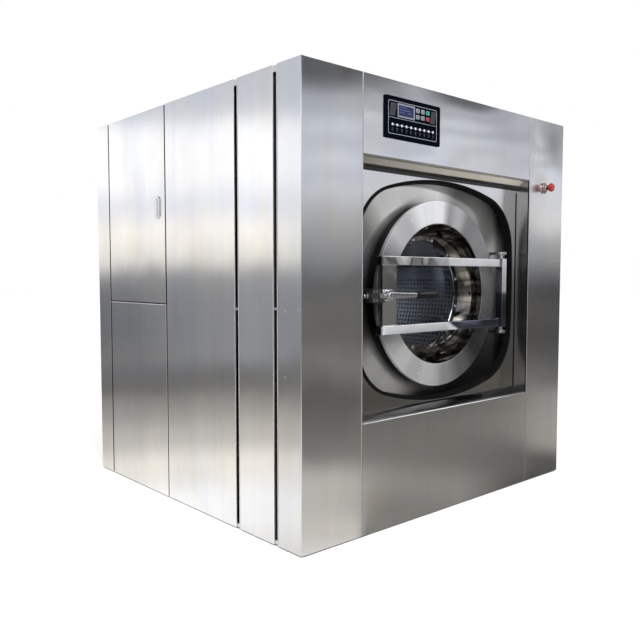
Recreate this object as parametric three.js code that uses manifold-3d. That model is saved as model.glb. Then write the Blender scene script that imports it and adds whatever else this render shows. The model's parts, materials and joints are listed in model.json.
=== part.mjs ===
// Soft-mount commercial washing machine: stainless cabinet, sprung tub, perforated drum, dished door.
// Millimetres. X to the right as seen from the front, Y towards the back, Z up, origin on the floor.
import * as THREE from "three";
import { mergeVertices } from "three/addons/utils/BufferGeometryUtils.js";
import Module from "manifold-3d";

const wasm = await Module();
wasm.setup();

// Sheet metal and clearances
const sheet = 2;
const bendRadius = 4;
const seatGap = 0.3;
const seamGap = 1.5;
const sideSeamGap = 3;
const skirtGap = 6;
const flangeDepth = 20;
const overrun = 5;
const mergeTolerance = 0.0003;

// Front: two pillars, two panels and the recessed surround between them
const pillarWidth = 336;
const recessDepth = 80;
const upperPanelHeight = 334;
const lipDepth = 30;
const soffitDrop = 34;
const sillRise = 25;
const shadowSlotWidth = 24;
const pillarSideDepth = 150;
const frontSidePanelWidth = 246;
const slotFloorOverlap = 22;
const slopeStart = 4;
const surroundLipStart = 12;

// Left side: service door over a lower panel, and the folded rear pillars
const middlePanelWidth = 593;
const servicePanelWidth = 612;
const servicePanelSplit = 978;
const rearPillarReach = 150;
const rearPillarSide = 148;

// Base frame and lid
const railWidth = 80;
const railHeight = 120;
const railWall = 8;
const sideRailWidth = 240;
const weld = 1;
const lidInset = 3;
const lidFlange = 26;
const lidGrooveCount = 4;
const lidGrooveWidth = 60;
const lidGrooveDepth = 8;
const lidGrooveShare = 0.82;

// Opening in the surround: a square with bowed sides and round corners, edged with rubber
const openingSideMargin = 116;
const openingHeadroom = 68;
const openingRise = 17;
const jambMargin = 42;
const sillMargin = 38;
const soffitMargin = 55;
const openingCornerRadius = 260;
const openingTopRadius = 1422;
const openingSideRadius = 4127;
const trimOuterLip = 9;
const trimInnerLip = 5;
const trimSideLip = 6;

// Drum axis and tub
const axisHeight = 1028;
const tubPlateSetback = 50;
const tubRadius = 690;
const tubWall = 5;
const tubPlate = 6;
const tubFlange = 14;
const tubLength = 915;
const tubBackPlate = 10;
const throatRadius = 395;
const collarLength = 31;
const collarFlange = 37;
const collarPlate = 3;
const sumpRadius = 55;
const sumpDrop = 70;
const sumpSetback = 160;
const sumpTopShare = 0.8;

// Bearing housing, shaft and back ribs
const housingRadius = 120;
const housingNoseRadius = 95;
const housingLength = 295;
const boreRadius = 46;
const shaftRadius = 45;
const ribCount = 6;
const ribThickness = 10;
const ribReach = 600;
const ribHeight = 150;

// Drum
const tubDrumGap = 60;
const drumWall = 3;
const drumFrontGap = 19;
const drumLength = 840;
const drumMouthStep = 5;
const drumBackPlate = 8;
const drumLipRoll = 14;
const drumHubRadius = 110;
const drumHubLength = 30;
const spiderArmWidth = 90;
const spiderArmDepth = 26;
const spiderShare = 0.93;
const lifterCount = 3;
const lifterHeight = 120;
const lifterBaseWidth = 150;
const lifterCrestWidth = 46;
const lifterEndGap = 22;
const lifterStart = Math.PI / 12;
const holeRadius = 13;
const holeRowsPerBay = 4;
const holeColumnsPerBay = 4;
const holeToolDepth = 18;

// Belt drive
const pulleyGap = 35;
const pulleyWidth = 64;
const drumPulleyRadius = 300;
const motorPulleyRadius = 75;
const rimThickness = 22;
const webThickness = 12;
const pulleyHubRadius = 70;
const pulleyWindowRadius = 62;
const pulleyWindowCount = 4;
const grooveCount = 3;
const grooveDepth = 8;
const beltThickness = 9;
const beltInset = 4;
const beltSag = 0.4;
const motorOffsetX = 330;
const motorDrop = 500;
const motorRadius = 125;
const motorFlangeSize = 290;
const motorFlangeThickness = 14;
const motorLength = 300;
const motorShaftRadius = 20;
const motorShaftDepth = 75;
const motorBoreDepth = 100;
const motorCornerShare = 0.25;
const motorFinCount = 12;
const motorFinDepth = 10;
const motorFinThickness = 6;
const terminalBoxSize = 90;
const terminalBoxReach = 60;
const terminalBoxSetback = 100;

// Suspension: spring cradles on the tub, coil springs and dampers on the base
const cradleInset = 138;
const cradleWidth = 120;
const cradleHeight = 80;
const cradleDrop = 424;
const cradleStart = 94;
const cradleLength = 860;
const gussetThickness = 14;
const gussetDrop = 128;
const gussetShares = [0.08, 0.5, 0.92];
const springWire = 26;
const springMeanRadius = 68;
const springTurns = 5;
const coilSteps = 8;
const wireSides = 5;
const springCupRadius = 100;
const springCupHeight = 14;
const springCupFloor = 4;
const springSeatThickness = 6;
const springInset = 120;
const damperTubeRadius = 34;
const damperBoreRadius = 24;
const damperRodRadius = 22;
const damperTubeHeight = 300;
const damperRodEngaged = 120;

// Door: flat ring, dished bowl, glass
const ringOverlap = 53;
const ringFaceWidth = 109;
const ringFrontDepth = 90;
const ringThickness = 20;
const ringEdge = 3;
const bowlWall = 3;
const bowlLipSetback = 2;
const bowlSocketDepth = 18;
const bowlDepth = 116;
const bowlPull = 8;
const bowlSteps = 3;
const bowlTaper = 51;
const glassLedge = 26;
const glassFit = 4;
const glassThickness = 12;
const glassCurveShare = 0.25;
const clampThickness = 4;
const clampRim = 5;
const glassBoltCount = 12;
const glassBoltRadius = 5;
const glassBoltHeight = 4;
const gasketInset = 3;
const gasketWidth = 32;
const gasketLip = 6;

// Yoke and hinge
const barSize = 40;
const barSpacing = 310;
const barOverhang = 4;
const barNose = 18;
const postSize = 40;
const hingeOverhang = 18;
const hingeStandOff = 30;
const postLength = 356;
const yokePlateWidth = 92;
const yokePlateThickness = 12;
const yokePlateSetback = 4;
const yokePlateInset = 6;
const hingePinRadius = 10;
const hingeBoreRadius = 10.8;
const hingePinEngaged = 25;
const hingePinFree = 20;
const lugWidth = 52;
const lugThickness = 14;
const lugOverhang = 22;
const lugCornerShare = 0.33;
const bracketPlate = 12;

// Lock block, handle and grip
const handleInset = 32;
const hubRadius = 27;
const hubLength = 26;
const handleShaftRadius = 11;
const handleShaftEnd = 4;
const leverRootShare = 0.55;
const leverWidth = 18;
const leverThickness = 16;
const leverInset = 4;
const leverLength = 170;
const gripRadius = 17;
const gripLength = 148;
const gripBore = 8;
const gripBoreShare = 0.5;
const tongueLength = 61;
const tongueWidth = 20;
const tongueThickness = 12;
const tongueCorner = 5;
const tongueStandOff = 4;
const lockWidth = 78;
const lockHeight = 60;
const lockStandOff = 56;
const lockNotchWidth = 38;
const lockNotchDepth = 21;
const lockNotchFloor = 13;
const lockPinRadius = 11;
const lockPinLength = 30;
const knobCollarLength = 10;
const knobCollarShare = 1.45;

// Control panel on the front upper panel
const controlSetIn = 123;
const controlDrop = 69;
const controlWidth = 366;
const controlHeight = 178;
const controlThickness = 6;
const controlCorner = 8;
const controlBoxMargin = 18;
const controlBoxDepth = 120;
const screenInset = 77;
const screenRise = 94;
const screenWidth = 112;
const screenHeight = 58;
const screenFrame = 6;
const screenCorner = 3;
const screenRelief = 1.5;
const keyColumns = 3;
const keyRows = 2;
const keyInset = 210;
const keyColumnPitch = 34;
const keyRise = 111;
const keyRowPitch = 27;
const keyWidth = 24;
const keyHeight = 19;
const keyCorner = 4;
const keyProud = 1.5;
const keyTravel = 1;

// Emergency stop on the right pillar
const stopInset = 137;
const stopDrop = 359;
const stopFlangeRadius = 30;
const stopFlangeThickness = 6;
const stopFlangeEdge = 2;
const stopCollarRadius = 17;
const stopCollarLength = 20;
const stopBoreRadius = 9;
const stopBarrelRadius = 13;
const stopBarrelLength = 45;
const stopStemRadius = 8;
const stopStemLength = 56;
const stopHeadRadius = 23;
const stopHeadLength = 27;
const stopHeadBevel = 9;
const stopHeadLobes = 8;
const stopLobeSides = 3;
const stopHeadClearance = 1;
const stopRoundShare = 0.7;
const stopLobe = 0.7;
const stopTravel = 5;
const stopSocketDepth = 12;

// Lock on the service door
const serviceLockInset = 70;
const serviceLockRise = 477;
const serviceLockLength = 110;
const serviceLockWidth = 46;
const serviceLockThickness = 12;
const serviceRidgeShare = 0.33;
const serviceLockShaft = 9;
const serviceLockReach = 25;
const serviceTongueLength = 86;
const serviceTongueWidth = 20;
const serviceTongueThickness = 4;
const serviceTongueCorner = 5;

// Services on the rear panel
const inletDrop = 250;
const inletPitch = 170;
const inletCount = 3;
const inletRadius = 26;
const inletReach = 60;
const inletPlateHeight = 110;
const inletPlateThickness = 8;
const inletPlateMargin = 52;
const inletPlateCorner = 13;
const inletBore = 19;
const drainOffset = -420;
const drainHeight = 210;
const drainRadius = 57;
const drainWall = 4;
const drainFlange = 85;
const drainInside = 120;
const glandOffset = 520;
const glandDrop = 390;
const glandRadius = 22;
const glandBore = 9;
const glandThreadRadius = 11;
const glandBodyLength = 11;
const glandLength = 33;
const glandCapShare = 0.82;
const louvreCount = 6;
const louvrePitch = 40;
const louvreLength = 420;
const louvreOpening = 12;
const louvreBottom = 900;
const louvreHood = 14;

// Round stretches: how many sides each size of circle gets, and how many steps each size of corner
const hexagon = 6;
const coarse = 12;
const round = 16;
const medium = 24;
const fine = 36;
const doorSides = 36;
const softCorner = 6;
const roundEnd = 4;
const plainCorner = 3;
const smallCorner = 2;
const bevelCorner = 1;
const bendSteps = 3;
const bowSteps = 3;
const jambSteps = 2;
const gripSteps = 5;
const beltNoseSteps = 6;
const quarterTurn = Math.PI / 2;
const fullTurn = Math.PI * 2;

// The door's size leads to the opening, and the opening to the cabinet round it
const ringOuterRadius = throatRadius + ringOverlap;
const ringInnerRadius = ringOuterRadius - ringFaceWidth;
const bowlFlangeRadius = ringInnerRadius - bowlTaper;
const glassSightRadius = bowlFlangeRadius - glassLedge;
const glassRadius = bowlFlangeRadius - glassFit;
const barLeftReach = ringOuterRadius + barOverhang;
const handleOffset = barLeftReach - handleInset;
const lockRight = barLeftReach;
const lockLeft = lockRight + lockWidth;
const hingeOffset = ringOuterRadius + hingeOverhang;
const openingHalfWidth = hingeOffset + openingSideMargin;
const openingHalfHeight = ringOuterRadius + openingHeadroom;
const openingCentreHeight = axisHeight + openingRise;
const sillHeight = openingCentreHeight - openingHalfHeight - sillMargin;
const soffitHeight = openingCentreHeight + openingHalfHeight + soffitMargin;
const cabinetHeight = soffitHeight + upperPanelHeight;
const jambX = openingHalfWidth + jambMargin;
const halfWidth = jambX + pillarWidth;
const sideWidths = [
  pillarSideDepth, shadowSlotWidth, frontSidePanelWidth, shadowSlotWidth, middlePanelWidth, servicePanelWidth,
  sideSeamGap, rearPillarSide,
];
const cabinetDepth = sideWidths.reduce((sum, width) => sum + width);
const frontFace = -cabinetDepth / 2;
const rearFace = cabinetDepth / 2;

// Places that several pieces share
const recessFace = frontFace + recessDepth;
const ringFront = frontFace + ringFrontDepth;
const ringBack = ringFront + ringThickness;
const tubPlateFace = ringBack + tubPlateSetback;
const tubPlateBack = tubPlateFace + tubPlate;
const tubRearInside = tubPlateBack + tubLength;
const tubBackFace = tubRearInside + tubBackPlate;
const drumRadius = tubRadius - tubWall - tubDrumGap;
const drumMouthRadius = throatRadius + drumMouthStep;
const drumFront = tubPlateBack + drumFrontGap;
const drumBackInside = drumFront + drumLength;
const collarFace = tubPlateFace - collarLength;
const bearingEnd = tubBackFace + housingLength;
const pulleyFront = bearingEnd + pulleyGap;
const pulleyBack = pulleyFront + pulleyWidth;
const glassFront = ringFront + bowlDepth;
const hingeY = ringFront - hingeStandOff;
const barFront = ringFront - seatGap - barSize;
const barBack = ringFront - seatGap;
const yokePlateFront = barFront + yokePlateSetback;
const lidTop = cabinetHeight - lidInset;
const cradleBottom = axisHeight - cradleDrop;
const cradleFront = tubPlateBack + cradleStart;
const gussetTop = axisHeight - gussetDrop;
const controlLeft = jambX - controlSetIn;
const controlTop = cabinetHeight - controlDrop;
const controlBottom = controlTop - controlHeight;
const stopOffset = jambX + stopInset;
const stopHeight = cabinetHeight - stopDrop;
const serviceLockHeight = servicePanelSplit + serviceLockRise;
const inletHeight = cabinetHeight - inletDrop;
const glandHeight = cabinetHeight - glandDrop;

const root = new THREE.Group();

// Steel, rubber, glass and plastic as the pieces show them
function metal(color, roughness) {
  return new THREE.MeshStandardMaterial({ color, roughness, metalness: 1 });
}
function plain(color, roughness) {
  return new THREE.MeshStandardMaterial({ color, roughness, metalness: 0 });
}
const brushed = () => metal(0xb9bbbe, 0.34);
const polished = () => metal(0xd4d6d8, 0.12);
const paintedSteel = () => plain(0x5d646b, 0.55);
const blackRubber = () => plain(0x141414, 0.85);
const blackPlastic = () => plain(0x17181a, 0.45);
const glass = () => plain(0x2b3440, 0.08);

// A geometry with shared corners only, and its faces pointing out
function closed(geometry) {
  const bare = geometry.index ? geometry.toNonIndexed() : geometry.clone();
  for (const name of Object.keys(bare.attributes)) {
    if (name !== "position") bare.deleteAttribute(name);
  }
  bare.clearGroups();
  const merged = mergeVertices(bare, mergeTolerance);
  return signedVolume(merged) < 0 ? turnedOut(merged) : merged;
}

function signedVolume(geometry) {
  const place = geometry.attributes.position;
  const index = geometry.index;
  const a = new THREE.Vector3();
  const b = new THREE.Vector3();
  const c = new THREE.Vector3();
  let total = 0;
  for (let i = 0; i < index.count; i += 3) {
    a.fromBufferAttribute(place, index.getX(i));
    b.fromBufferAttribute(place, index.getX(i + 1));
    c.fromBufferAttribute(place, index.getX(i + 2));
    total += a.dot(b.cross(c));
  }
  return total;
}

function turnedOut(geometry) {
  const index = geometry.index.array;
  for (let i = 0; i < index.length; i += 3) {
    [index[i], index[i + 1]] = [index[i + 1], index[i]];
  }
  return geometry;
}

// Joins and cuts of closed geometries
function toSolid(geometry) {
  const bare = closed(geometry);
  const vertProperties = new Float32Array(bare.attributes.position.array);
  const triVerts = new Uint32Array(bare.index.array);
  return new wasm.Manifold(new wasm.Mesh({ numProp: 3, vertProperties, triVerts }));
}

function toGeometry(solid) {
  const mesh = solid.getMesh();
  const geometry = new THREE.BufferGeometry();
  geometry.setAttribute("position", new THREE.Float32BufferAttribute(mesh.vertProperties, 3));
  geometry.setIndex(new THREE.Uint32BufferAttribute(mesh.triVerts, 1));
  return geometry;
}

function join(...geometries) {
  return toGeometry(geometries.map(toSolid).reduce((sum, next) => sum.add(next)));
}

function cut(geometry, ...tools) {
  return toGeometry(tools.map(toSolid).reduce((rest, tool) => rest.subtract(tool), toSolid(geometry)));
}

function overlapOf(geometry, other) {
  return toGeometry(toSolid(geometry).intersect(toSolid(other)));
}

// Plain blocks between two corners
function block(x0, x1, y0, y1, z0, z1) {
  const geometry = new THREE.BoxGeometry(Math.abs(x1 - x0), Math.abs(y1 - y0), Math.abs(z1 - z0));
  return geometry.translate((x0 + x1) / 2, (y0 + y1) / 2, (z0 + z1) / 2);
}

// Shapes drawn in two of the axes and extruded along the third
const alongX = new THREE.Matrix4().makeBasis(
  new THREE.Vector3(0, 1, 0), new THREE.Vector3(0, 0, 1), new THREE.Vector3(1, 0, 0));
const alongY = new THREE.Matrix4().makeBasis(
  new THREE.Vector3(1, 0, 0), new THREE.Vector3(0, 0, 1), new THREE.Vector3(0, -1, 0));

function extrude(shape, length, curveSegments = softCorner) {
  return new THREE.ExtrudeGeometry(shape, { depth: length, bevelEnabled: false, curveSegments });
}
function extrudeX(shape, x0, x1, curveSegments) {
  return extrude(shape, x1 - x0, curveSegments).applyMatrix4(alongX).translate(x0, 0, 0);
}
function extrudeY(shape, y0, y1, curveSegments) {
  return extrude(shape, y1 - y0, curveSegments).applyMatrix4(alongY).translate(0, y1, 0);
}
function extrudeZ(shape, z0, z1, curveSegments) {
  return extrude(shape, z1 - z0, curveSegments).translate(0, 0, z0);
}

function shapeOf(points) {
  return new THREE.Shape(points.map(([u, v]) => new THREE.Vector2(u, v)));
}

// A hole's radius, so that its flats clear a round piece by the gap
function around(radius, sides = coarse, gap = seatGap) {
  return (radius + gap) / Math.cos(Math.PI / sides);
}

// Rods along each axis, from one end to the other
function rodX(radius, x0, x1, y, z, sides = coarse) {
  const rod = new THREE.CylinderGeometry(radius, radius, Math.abs(x1 - x0), sides);
  return rod.rotateZ(Math.PI / 2).translate((x0 + x1) / 2, y, z);
}
function rodY(radius, y0, y1, x, z, sides = coarse) {
  const rod = new THREE.CylinderGeometry(radius, radius, Math.abs(y1 - y0), sides);
  return rod.translate(x, (y0 + y1) / 2, z);
}
function rodZ(radius, z0, z1, x, y, sides = coarse) {
  const rod = new THREE.CylinderGeometry(radius, radius, Math.abs(z1 - z0), sides);
  return rod.rotateX(Math.PI / 2).translate(x, y, (z0 + z1) / 2);
}

// A closed profile of radius and Y, turned round the drum axis or another axis parallel to it
function turned(profile, sides = fine, x = 0, z = axisHeight) {
  const points = profile.map(([r, y]) => new THREE.Vector2(r, y));
  const first = points[0];
  const last = points[points.length - 1];
  if (!(first.x === 0 && last.x === 0)) points.push(first.clone());
  return new THREE.LatheGeometry(points, sides).translate(x, 0, z);
}

// A bent sheet: its visible face follows the corners, and the metal lies to the right of the path
function foldedSheet(corners, thickness = sheet, inside = bendRadius) {
  const seen = [];
  const hidden = [];
  const at = (p) => new THREE.Vector2(p[0], p[1]);
  const rightOf = (d) => new THREE.Vector2(d.y, -d.x);
  const count = corners.length;
  const way = (i) => at(corners[i + 1]).sub(at(corners[i])).normalize();
  seen.push(at(corners[0]));
  hidden.push(at(corners[0]).addScaledVector(rightOf(way(0)), thickness));
  for (let i = 1; i < count - 1; i++) {
    const before = way(i - 1);
    const after = way(i);
    const turn = Math.atan2(before.cross(after), before.dot(after));
    const towardsMetal = turn < 0;
    const seenRadius = towardsMetal ? inside + thickness : inside;
    const hiddenRadius = towardsMetal ? inside : inside + thickness;
    const back = seenRadius * Math.tan(Math.abs(turn) / 2);
    const side = towardsMetal ? 1 : -1;
    const start = at(corners[i]).addScaledVector(before, -back);
    const centre = start.clone().addScaledVector(rightOf(before), side * seenRadius);
    const spoke = start.clone().sub(centre).normalize();
    for (let k = 0; k <= bendSteps; k++) {
      const ray = spoke.clone().rotateAround(new THREE.Vector2(), (turn * k) / bendSteps);
      seen.push(centre.clone().addScaledVector(ray, seenRadius));
      hidden.push(centre.clone().addScaledVector(ray, hiddenRadius));
    }
  }
  seen.push(at(corners[count - 1]));
  hidden.push(at(corners[count - 1]).addScaledVector(rightOf(way(count - 2)), thickness));
  return new THREE.Shape([...seen, ...hidden.reverse()]);
}

// A rectangle with round corners
function roundedRectangle(u0, u1, v0, v1, radius) {
  const shape = new THREE.Shape();
  shape.moveTo(u0 + radius, v0);
  shape.lineTo(u1 - radius, v0);
  shape.absarc(u1 - radius, v0 + radius, radius, -quarterTurn, 0);
  shape.lineTo(u1, v1 - radius);
  shape.absarc(u1 - radius, v1 - radius, radius, 0, quarterTurn);
  shape.lineTo(u0 + radius, v1);
  shape.absarc(u0 + radius, v1 - radius, radius, quarterTurn, quarterTurn * 2);
  shape.lineTo(u0, v0 + radius);
  shape.absarc(u0 + radius, v0 + radius, radius, quarterTurn * 2, quarterTurn * 3);
  return shape;
}

// The opening's outline, moved outwards by a margin: bowed top and sides, tangent corner arcs
function bowedSquare(margin) {
  const top = openingTopRadius + margin;
  const side = openingSideRadius + margin;
  const corner = openingCornerRadius + margin;
  const topCentre = new THREE.Vector2(0, openingHalfHeight - openingTopRadius);
  const sideCentre = new THREE.Vector2(openingHalfWidth - openingSideRadius, 0);
  const apart = sideCentre.distanceTo(topCentre);
  const toTop = top - corner;
  const toSide = side - corner;
  const along = (toTop ** 2 - toSide ** 2 + apart ** 2) / (2 * apart);
  const across = Math.sqrt(toTop ** 2 - along ** 2);
  const line = sideCentre.clone().sub(topCentre).normalize();
  const cornerCentre = topCentre.clone().addScaledVector(line, along);
  cornerCentre.add(new THREE.Vector2(line.y, -line.x).multiplyScalar(across));
  const sideEnd = Math.atan2(cornerCentre.y - sideCentre.y, cornerCentre.x - sideCentre.x);
  const topEnd = Math.atan2(cornerCentre.y - topCentre.y, cornerCentre.x - topCentre.x);
  const quarter = [];
  const sweep = (centre, radius, from, to, steps) => {
    for (let k = 0; k < steps; k++) {
      const angle = from + ((to - from) * k) / steps;
      quarter.push([centre.x + radius * Math.cos(angle), centre.y + radius * Math.sin(angle)]);
    }
  };
  sweep(sideCentre, side, 0, sideEnd, jambSteps);
  sweep(cornerCentre, corner, sideEnd, topEnd, softCorner);
  sweep(topCentre, top, topEnd, quarterTurn, bowSteps);
  const peak = [0, openingHalfHeight + margin];
  const half = [...quarter, peak, ...quarter.slice(1).reverse().map(([u, v]) => [-u, v])];
  const rim = [...half, [-quarter[0][0], 0], ...half.slice(1).reverse().map(([u, v]) => [u, -v])];
  return rim.map(([u, v]) => [u, v + openingCentreHeight]);
}

function ringBetween(outer, inner) {
  const shape = shapeOf(outer);
  shape.holes.push(new THREE.Path(inner.map(([u, v]) => new THREE.Vector2(u, v))));
  return shape;
}

function mirrored(geometry) {
  return geometry.clone().scale(-1, 1, 1);
}

// Each piece is one named mesh
function piece(name, geometry, material) {
  const mesh = new THREE.Mesh(closed(geometry), material);
  mesh.name = name;
  root.add(mesh);
  return mesh;
}

// Space taken by the base frame and the lid inside the cabinet's skin: every folded sheet is notched for it
const inner = halfWidth - sheet;
const innerY = rearFace - sheet;
const slotFloor = halfWidth - flangeDepth;
const slotBack = slotFloor - sheet;
const cradleOffset = slotBack - cradleInset;
const baseX = slotBack - seatGap;
const baseSpaceX = slotBack - seatGap / 2;
const baseSpace = block(-baseSpaceX, baseSpaceX, -innerY, innerY, -overrun, railHeight + seatGap);
const lidSpace = block(-inner, inner, -innerY, innerY, lidTop - lidFlange - seatGap, cabinetHeight + overrun);
const notched = (geometry) => cut(geometry, baseSpace, lidSpace);

// Base frame: wide side rails that carry the springs and dampers, and three cross beams
const footX = inner - seatGap;
const footY = innerY - seatGap;
const cradleBack = cradleFront + cradleLength;
const springRows = [cradleFront + springInset, cradleBack - springInset];
const damperRow = (cradleFront + cradleBack) / 2;

function channel(x0, x1, y0, y1, openTop) {
  const solid = block(x0, x1, y0, y1, 0, railHeight);
  const low = openTop ? railWall : -overrun;
  const high = openTop ? railHeight + overrun : railHeight - railWall;
  return cut(solid, block(x0 + railWall, x1 - railWall, y0 + railWall, y1 - railWall, low, high));
}

function baseFrame() {
  const innerRail = baseX - sideRailWidth;
  const beamRows = [-footY, -railWidth / 2, footY - railWidth];
  const rail = channel(innerRail, baseX, -footY, footY, false);
  const parts = [rail, mirrored(rail)];
  const beamEnd = innerRail + weld;
  for (const row of beamRows) parts.push(channel(-beamEnd, beamEnd, row, row + railWidth, true));
  const bores = [];
  for (const side of [-1, 1]) {
    const x = side * cradleOffset;
    for (const y of springRows) {
      const cup = rodZ(springCupRadius, railHeight - weld, railHeight + springCupHeight, x, y);
      const well = rodZ(springMeanRadius + springWire, railHeight + springCupFloor, cradleBottom, x, y);
      parts.push(cut(cup, well));
    }
    const tubeTop = railHeight + damperTubeHeight;
    parts.push(rodZ(damperTubeRadius, railHeight - weld, tubeTop, x, damperRow));
    bores.push(rodZ(damperBoreRadius, railHeight + springCupFloor, tubeTop + overrun, x, damperRow));
  }
  return cut(join(...parts), ...bores);
}
piece("base_frame", baseFrame(), paintedSteel());

// Folded pillars at the four corners
const slotOneFront = frontFace + pillarSideDepth;
const slotOneBack = slotOneFront + shadowSlotWidth;
const slotTwoFront = slotOneBack + frontSidePanelWidth;
const slotTwoBack = slotTwoFront + shadowSlotWidth;
const serviceFront = slotTwoBack + middlePanelWidth;
const serviceBack = serviceFront + servicePanelWidth;
const rearPillarFront = serviceBack + sideSeamGap;
const serviceLockRow = serviceFront + serviceLockInset;

function frontPillar() {
  const path = [
    [-jambX, recessFace], [-jambX, frontFace], [-halfWidth, frontFace], [-halfWidth, slotOneFront],
    [-slotFloor, slotOneFront], [-slotFloor, slotOneBack + slotFloorOverlap],
  ];
  return notched(extrudeZ(foldedSheet(path), skirtGap, cabinetHeight));
}

function rearPillar() {
  const wrap = halfWidth - rearPillarReach;
  const path = [
    [-slotBack, rearPillarFront], [-halfWidth, rearPillarFront], [-halfWidth, rearFace], [-wrap, rearFace],
    [-wrap, rearFace - flangeDepth],
  ];
  return notched(extrudeZ(foldedSheet(path), skirtGap, cabinetHeight));
}

const skinCut = [frontFace - overrun, frontFace + overrun];
const stopHole = rodY(around(stopBarrelRadius), ...skinCut, stopOffset, stopHeight);
piece("front_pillar_left", frontPillar(), brushed());
piece("front_pillar_right", cut(mirrored(frontPillar()), stopHole), brushed());
piece("rear_pillar_left", rearPillar(), brushed());
piece("rear_pillar_right", mirrored(rearPillar()), brushed());

// Side panels: shallow folded trays, with the shadow slots' floors folded onto them
function sideTray(front, back, low, high, closesSlot, startsAtSlot) {
  const startX = startsAtSlot ? -(slotFloor + seatGap) : -slotBack;
  const endX = closesSlot ? -slotFloor : -slotBack;
  const path = [[startX, front], [-halfWidth, front], [-halfWidth, back], [endX, back]];
  if (closesSlot) path.push([endX, back + shadowSlotWidth + slotFloorOverlap]);
  return notched(extrudeZ(foldedSheet(path), low, high));
}

const frontSidePanel = sideTray(slotOneBack, slotTwoFront, skirtGap, cabinetHeight, true, true);
const middlePanel = sideTray(slotTwoBack, serviceFront - sideSeamGap, skirtGap, cabinetHeight, false, true);
const lowerPanelTop = servicePanelSplit - sideSeamGap;
const lowerSidePanel = sideTray(serviceFront, serviceBack, skirtGap, lowerPanelTop, false, false);
const rightPanel = sideTray(slotTwoBack, serviceBack, skirtGap, cabinetHeight, false, true);
piece("side_panel_left_front", frontSidePanel, brushed());
piece("side_panel_left_middle", middlePanel, brushed());
piece("side_panel_left_lower", lowerSidePanel, brushed());
piece("side_panel_right_front", mirrored(frontSidePanel), brushed());
piece("side_panel_right", mirrored(rightPanel), brushed());

// Service door: the upper tray on the left, hung at its back edge
function serviceDoor() {
  const tray = sideTray(serviceFront, serviceBack, servicePanelSplit, cabinetHeight - seamGap, false, false);
  const start = -halfWidth - overrun;
  return cut(tray, rodX(around(serviceLockShaft), start, -slotFloor, serviceLockRow, serviceLockHeight));
}

// Front panels with folded lips round the recess
const panelHalf = jambX - seamGap;
const flangeInner = panelHalf - sheet;
const flangeBack = frontFace + flangeDepth;

function withSideFlanges(face, low, high) {
  const weldFace = frontFace + sheet / 2;
  const right = block(flangeInner, panelHalf, weldFace, flangeBack, low, high);
  return notched(join(face, right, mirrored(right)));
}

function upperPanel() {
  const path = [[frontFace + lipDepth, soffitHeight], [frontFace, soffitHeight], [frontFace, cabinetHeight]];
  const face = extrudeX(foldedSheet(path), -panelHalf, panelHalf);
  return withSideFlanges(face, soffitHeight + flangeDepth, cabinetHeight);
}

function lowerPanel() {
  const path = [[frontFace, skirtGap], [frontFace, sillHeight], [frontFace + lipDepth, sillHeight]];
  const face = extrudeX(foldedSheet(path), -panelHalf, panelHalf);
  return withSideFlanges(face, skirtGap, sillHeight - flangeDepth);
}
piece("front_upper_panel", upperPanel(), brushed());
piece("front_lower_panel", lowerPanel(), brushed());

// Surround: sloping sill and soffit folded from the recessed panel, with the door's opening cut through
function surround() {
  const tuck = sheet + seatGap;
  const lipEnd = frontFace + lipDepth + slopeStart;
  const lipStart = frontFace + surroundLipStart;
  const path = [
    [lipStart, sillHeight - tuck], [lipEnd, sillHeight - tuck], [recessFace, sillHeight + sillRise],
    [recessFace, soffitHeight - soffitDrop], [lipEnd, soffitHeight + tuck], [lipStart, soffitHeight + tuck],
  ];
  const pan = extrudeX(foldedSheet(path), -jambX + seatGap, jambX - seatGap);
  return cut(pan, extrudeY(shapeOf(bowedSquare(0)), recessFace - overrun, recessFace + overrun));
}
piece("door_surround", surround(), brushed());

// Rubber edging, grooved for the sheet's edge
function surroundTrim() {
  const band = ringBetween(bowedSquare(trimOuterLip), bowedSquare(-trimInnerLip));
  const whole = extrudeY(band, recessFace - trimSideLip, recessFace + sheet + trimSideLip);
  const edge = ringBetween(bowedSquare(trimOuterLip + overrun), bowedSquare(-seatGap));
  return cut(whole, extrudeY(edge, recessFace - seatGap, recessFace + sheet + seatGap));
}
piece("surround_trim", surroundTrim(), blackRubber());

// Lid: a tray inside the top edges of the skin, stiffened with pressed grooves
function lid() {
  const low = lidTop - lidFlange;
  const whole = block(-footX, footX, -footY, footY, low, lidTop);
  const wallX = footX - sheet;
  const wallY = footY - sheet;
  const hollow = block(-wallX, wallX, -wallY, wallY, low - overrun, lidTop - sheet);
  const backs = [];
  const grooves = [];
  for (let i = 0; i < lidGrooveCount; i++) {
    const y = ((i + 0.5) / lidGrooveCount - 0.5) * cabinetDepth;
    const half = lidGrooveWidth / 2;
    const end = halfWidth * lidGrooveShare;
    const wide = end + sheet;
    const bottom = lidTop - lidGrooveDepth;
    backs.push(block(-wide, wide, y - half - sheet, y + half + sheet, bottom - sheet, lidTop - sheet / 2));
    grooves.push(block(-end, end, y - half, y + half, bottom, lidTop + overrun));
  }
  return cut(join(cut(whole, hollow), ...backs), ...grooves);
}
piece("lid", lid(), brushed());

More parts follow.
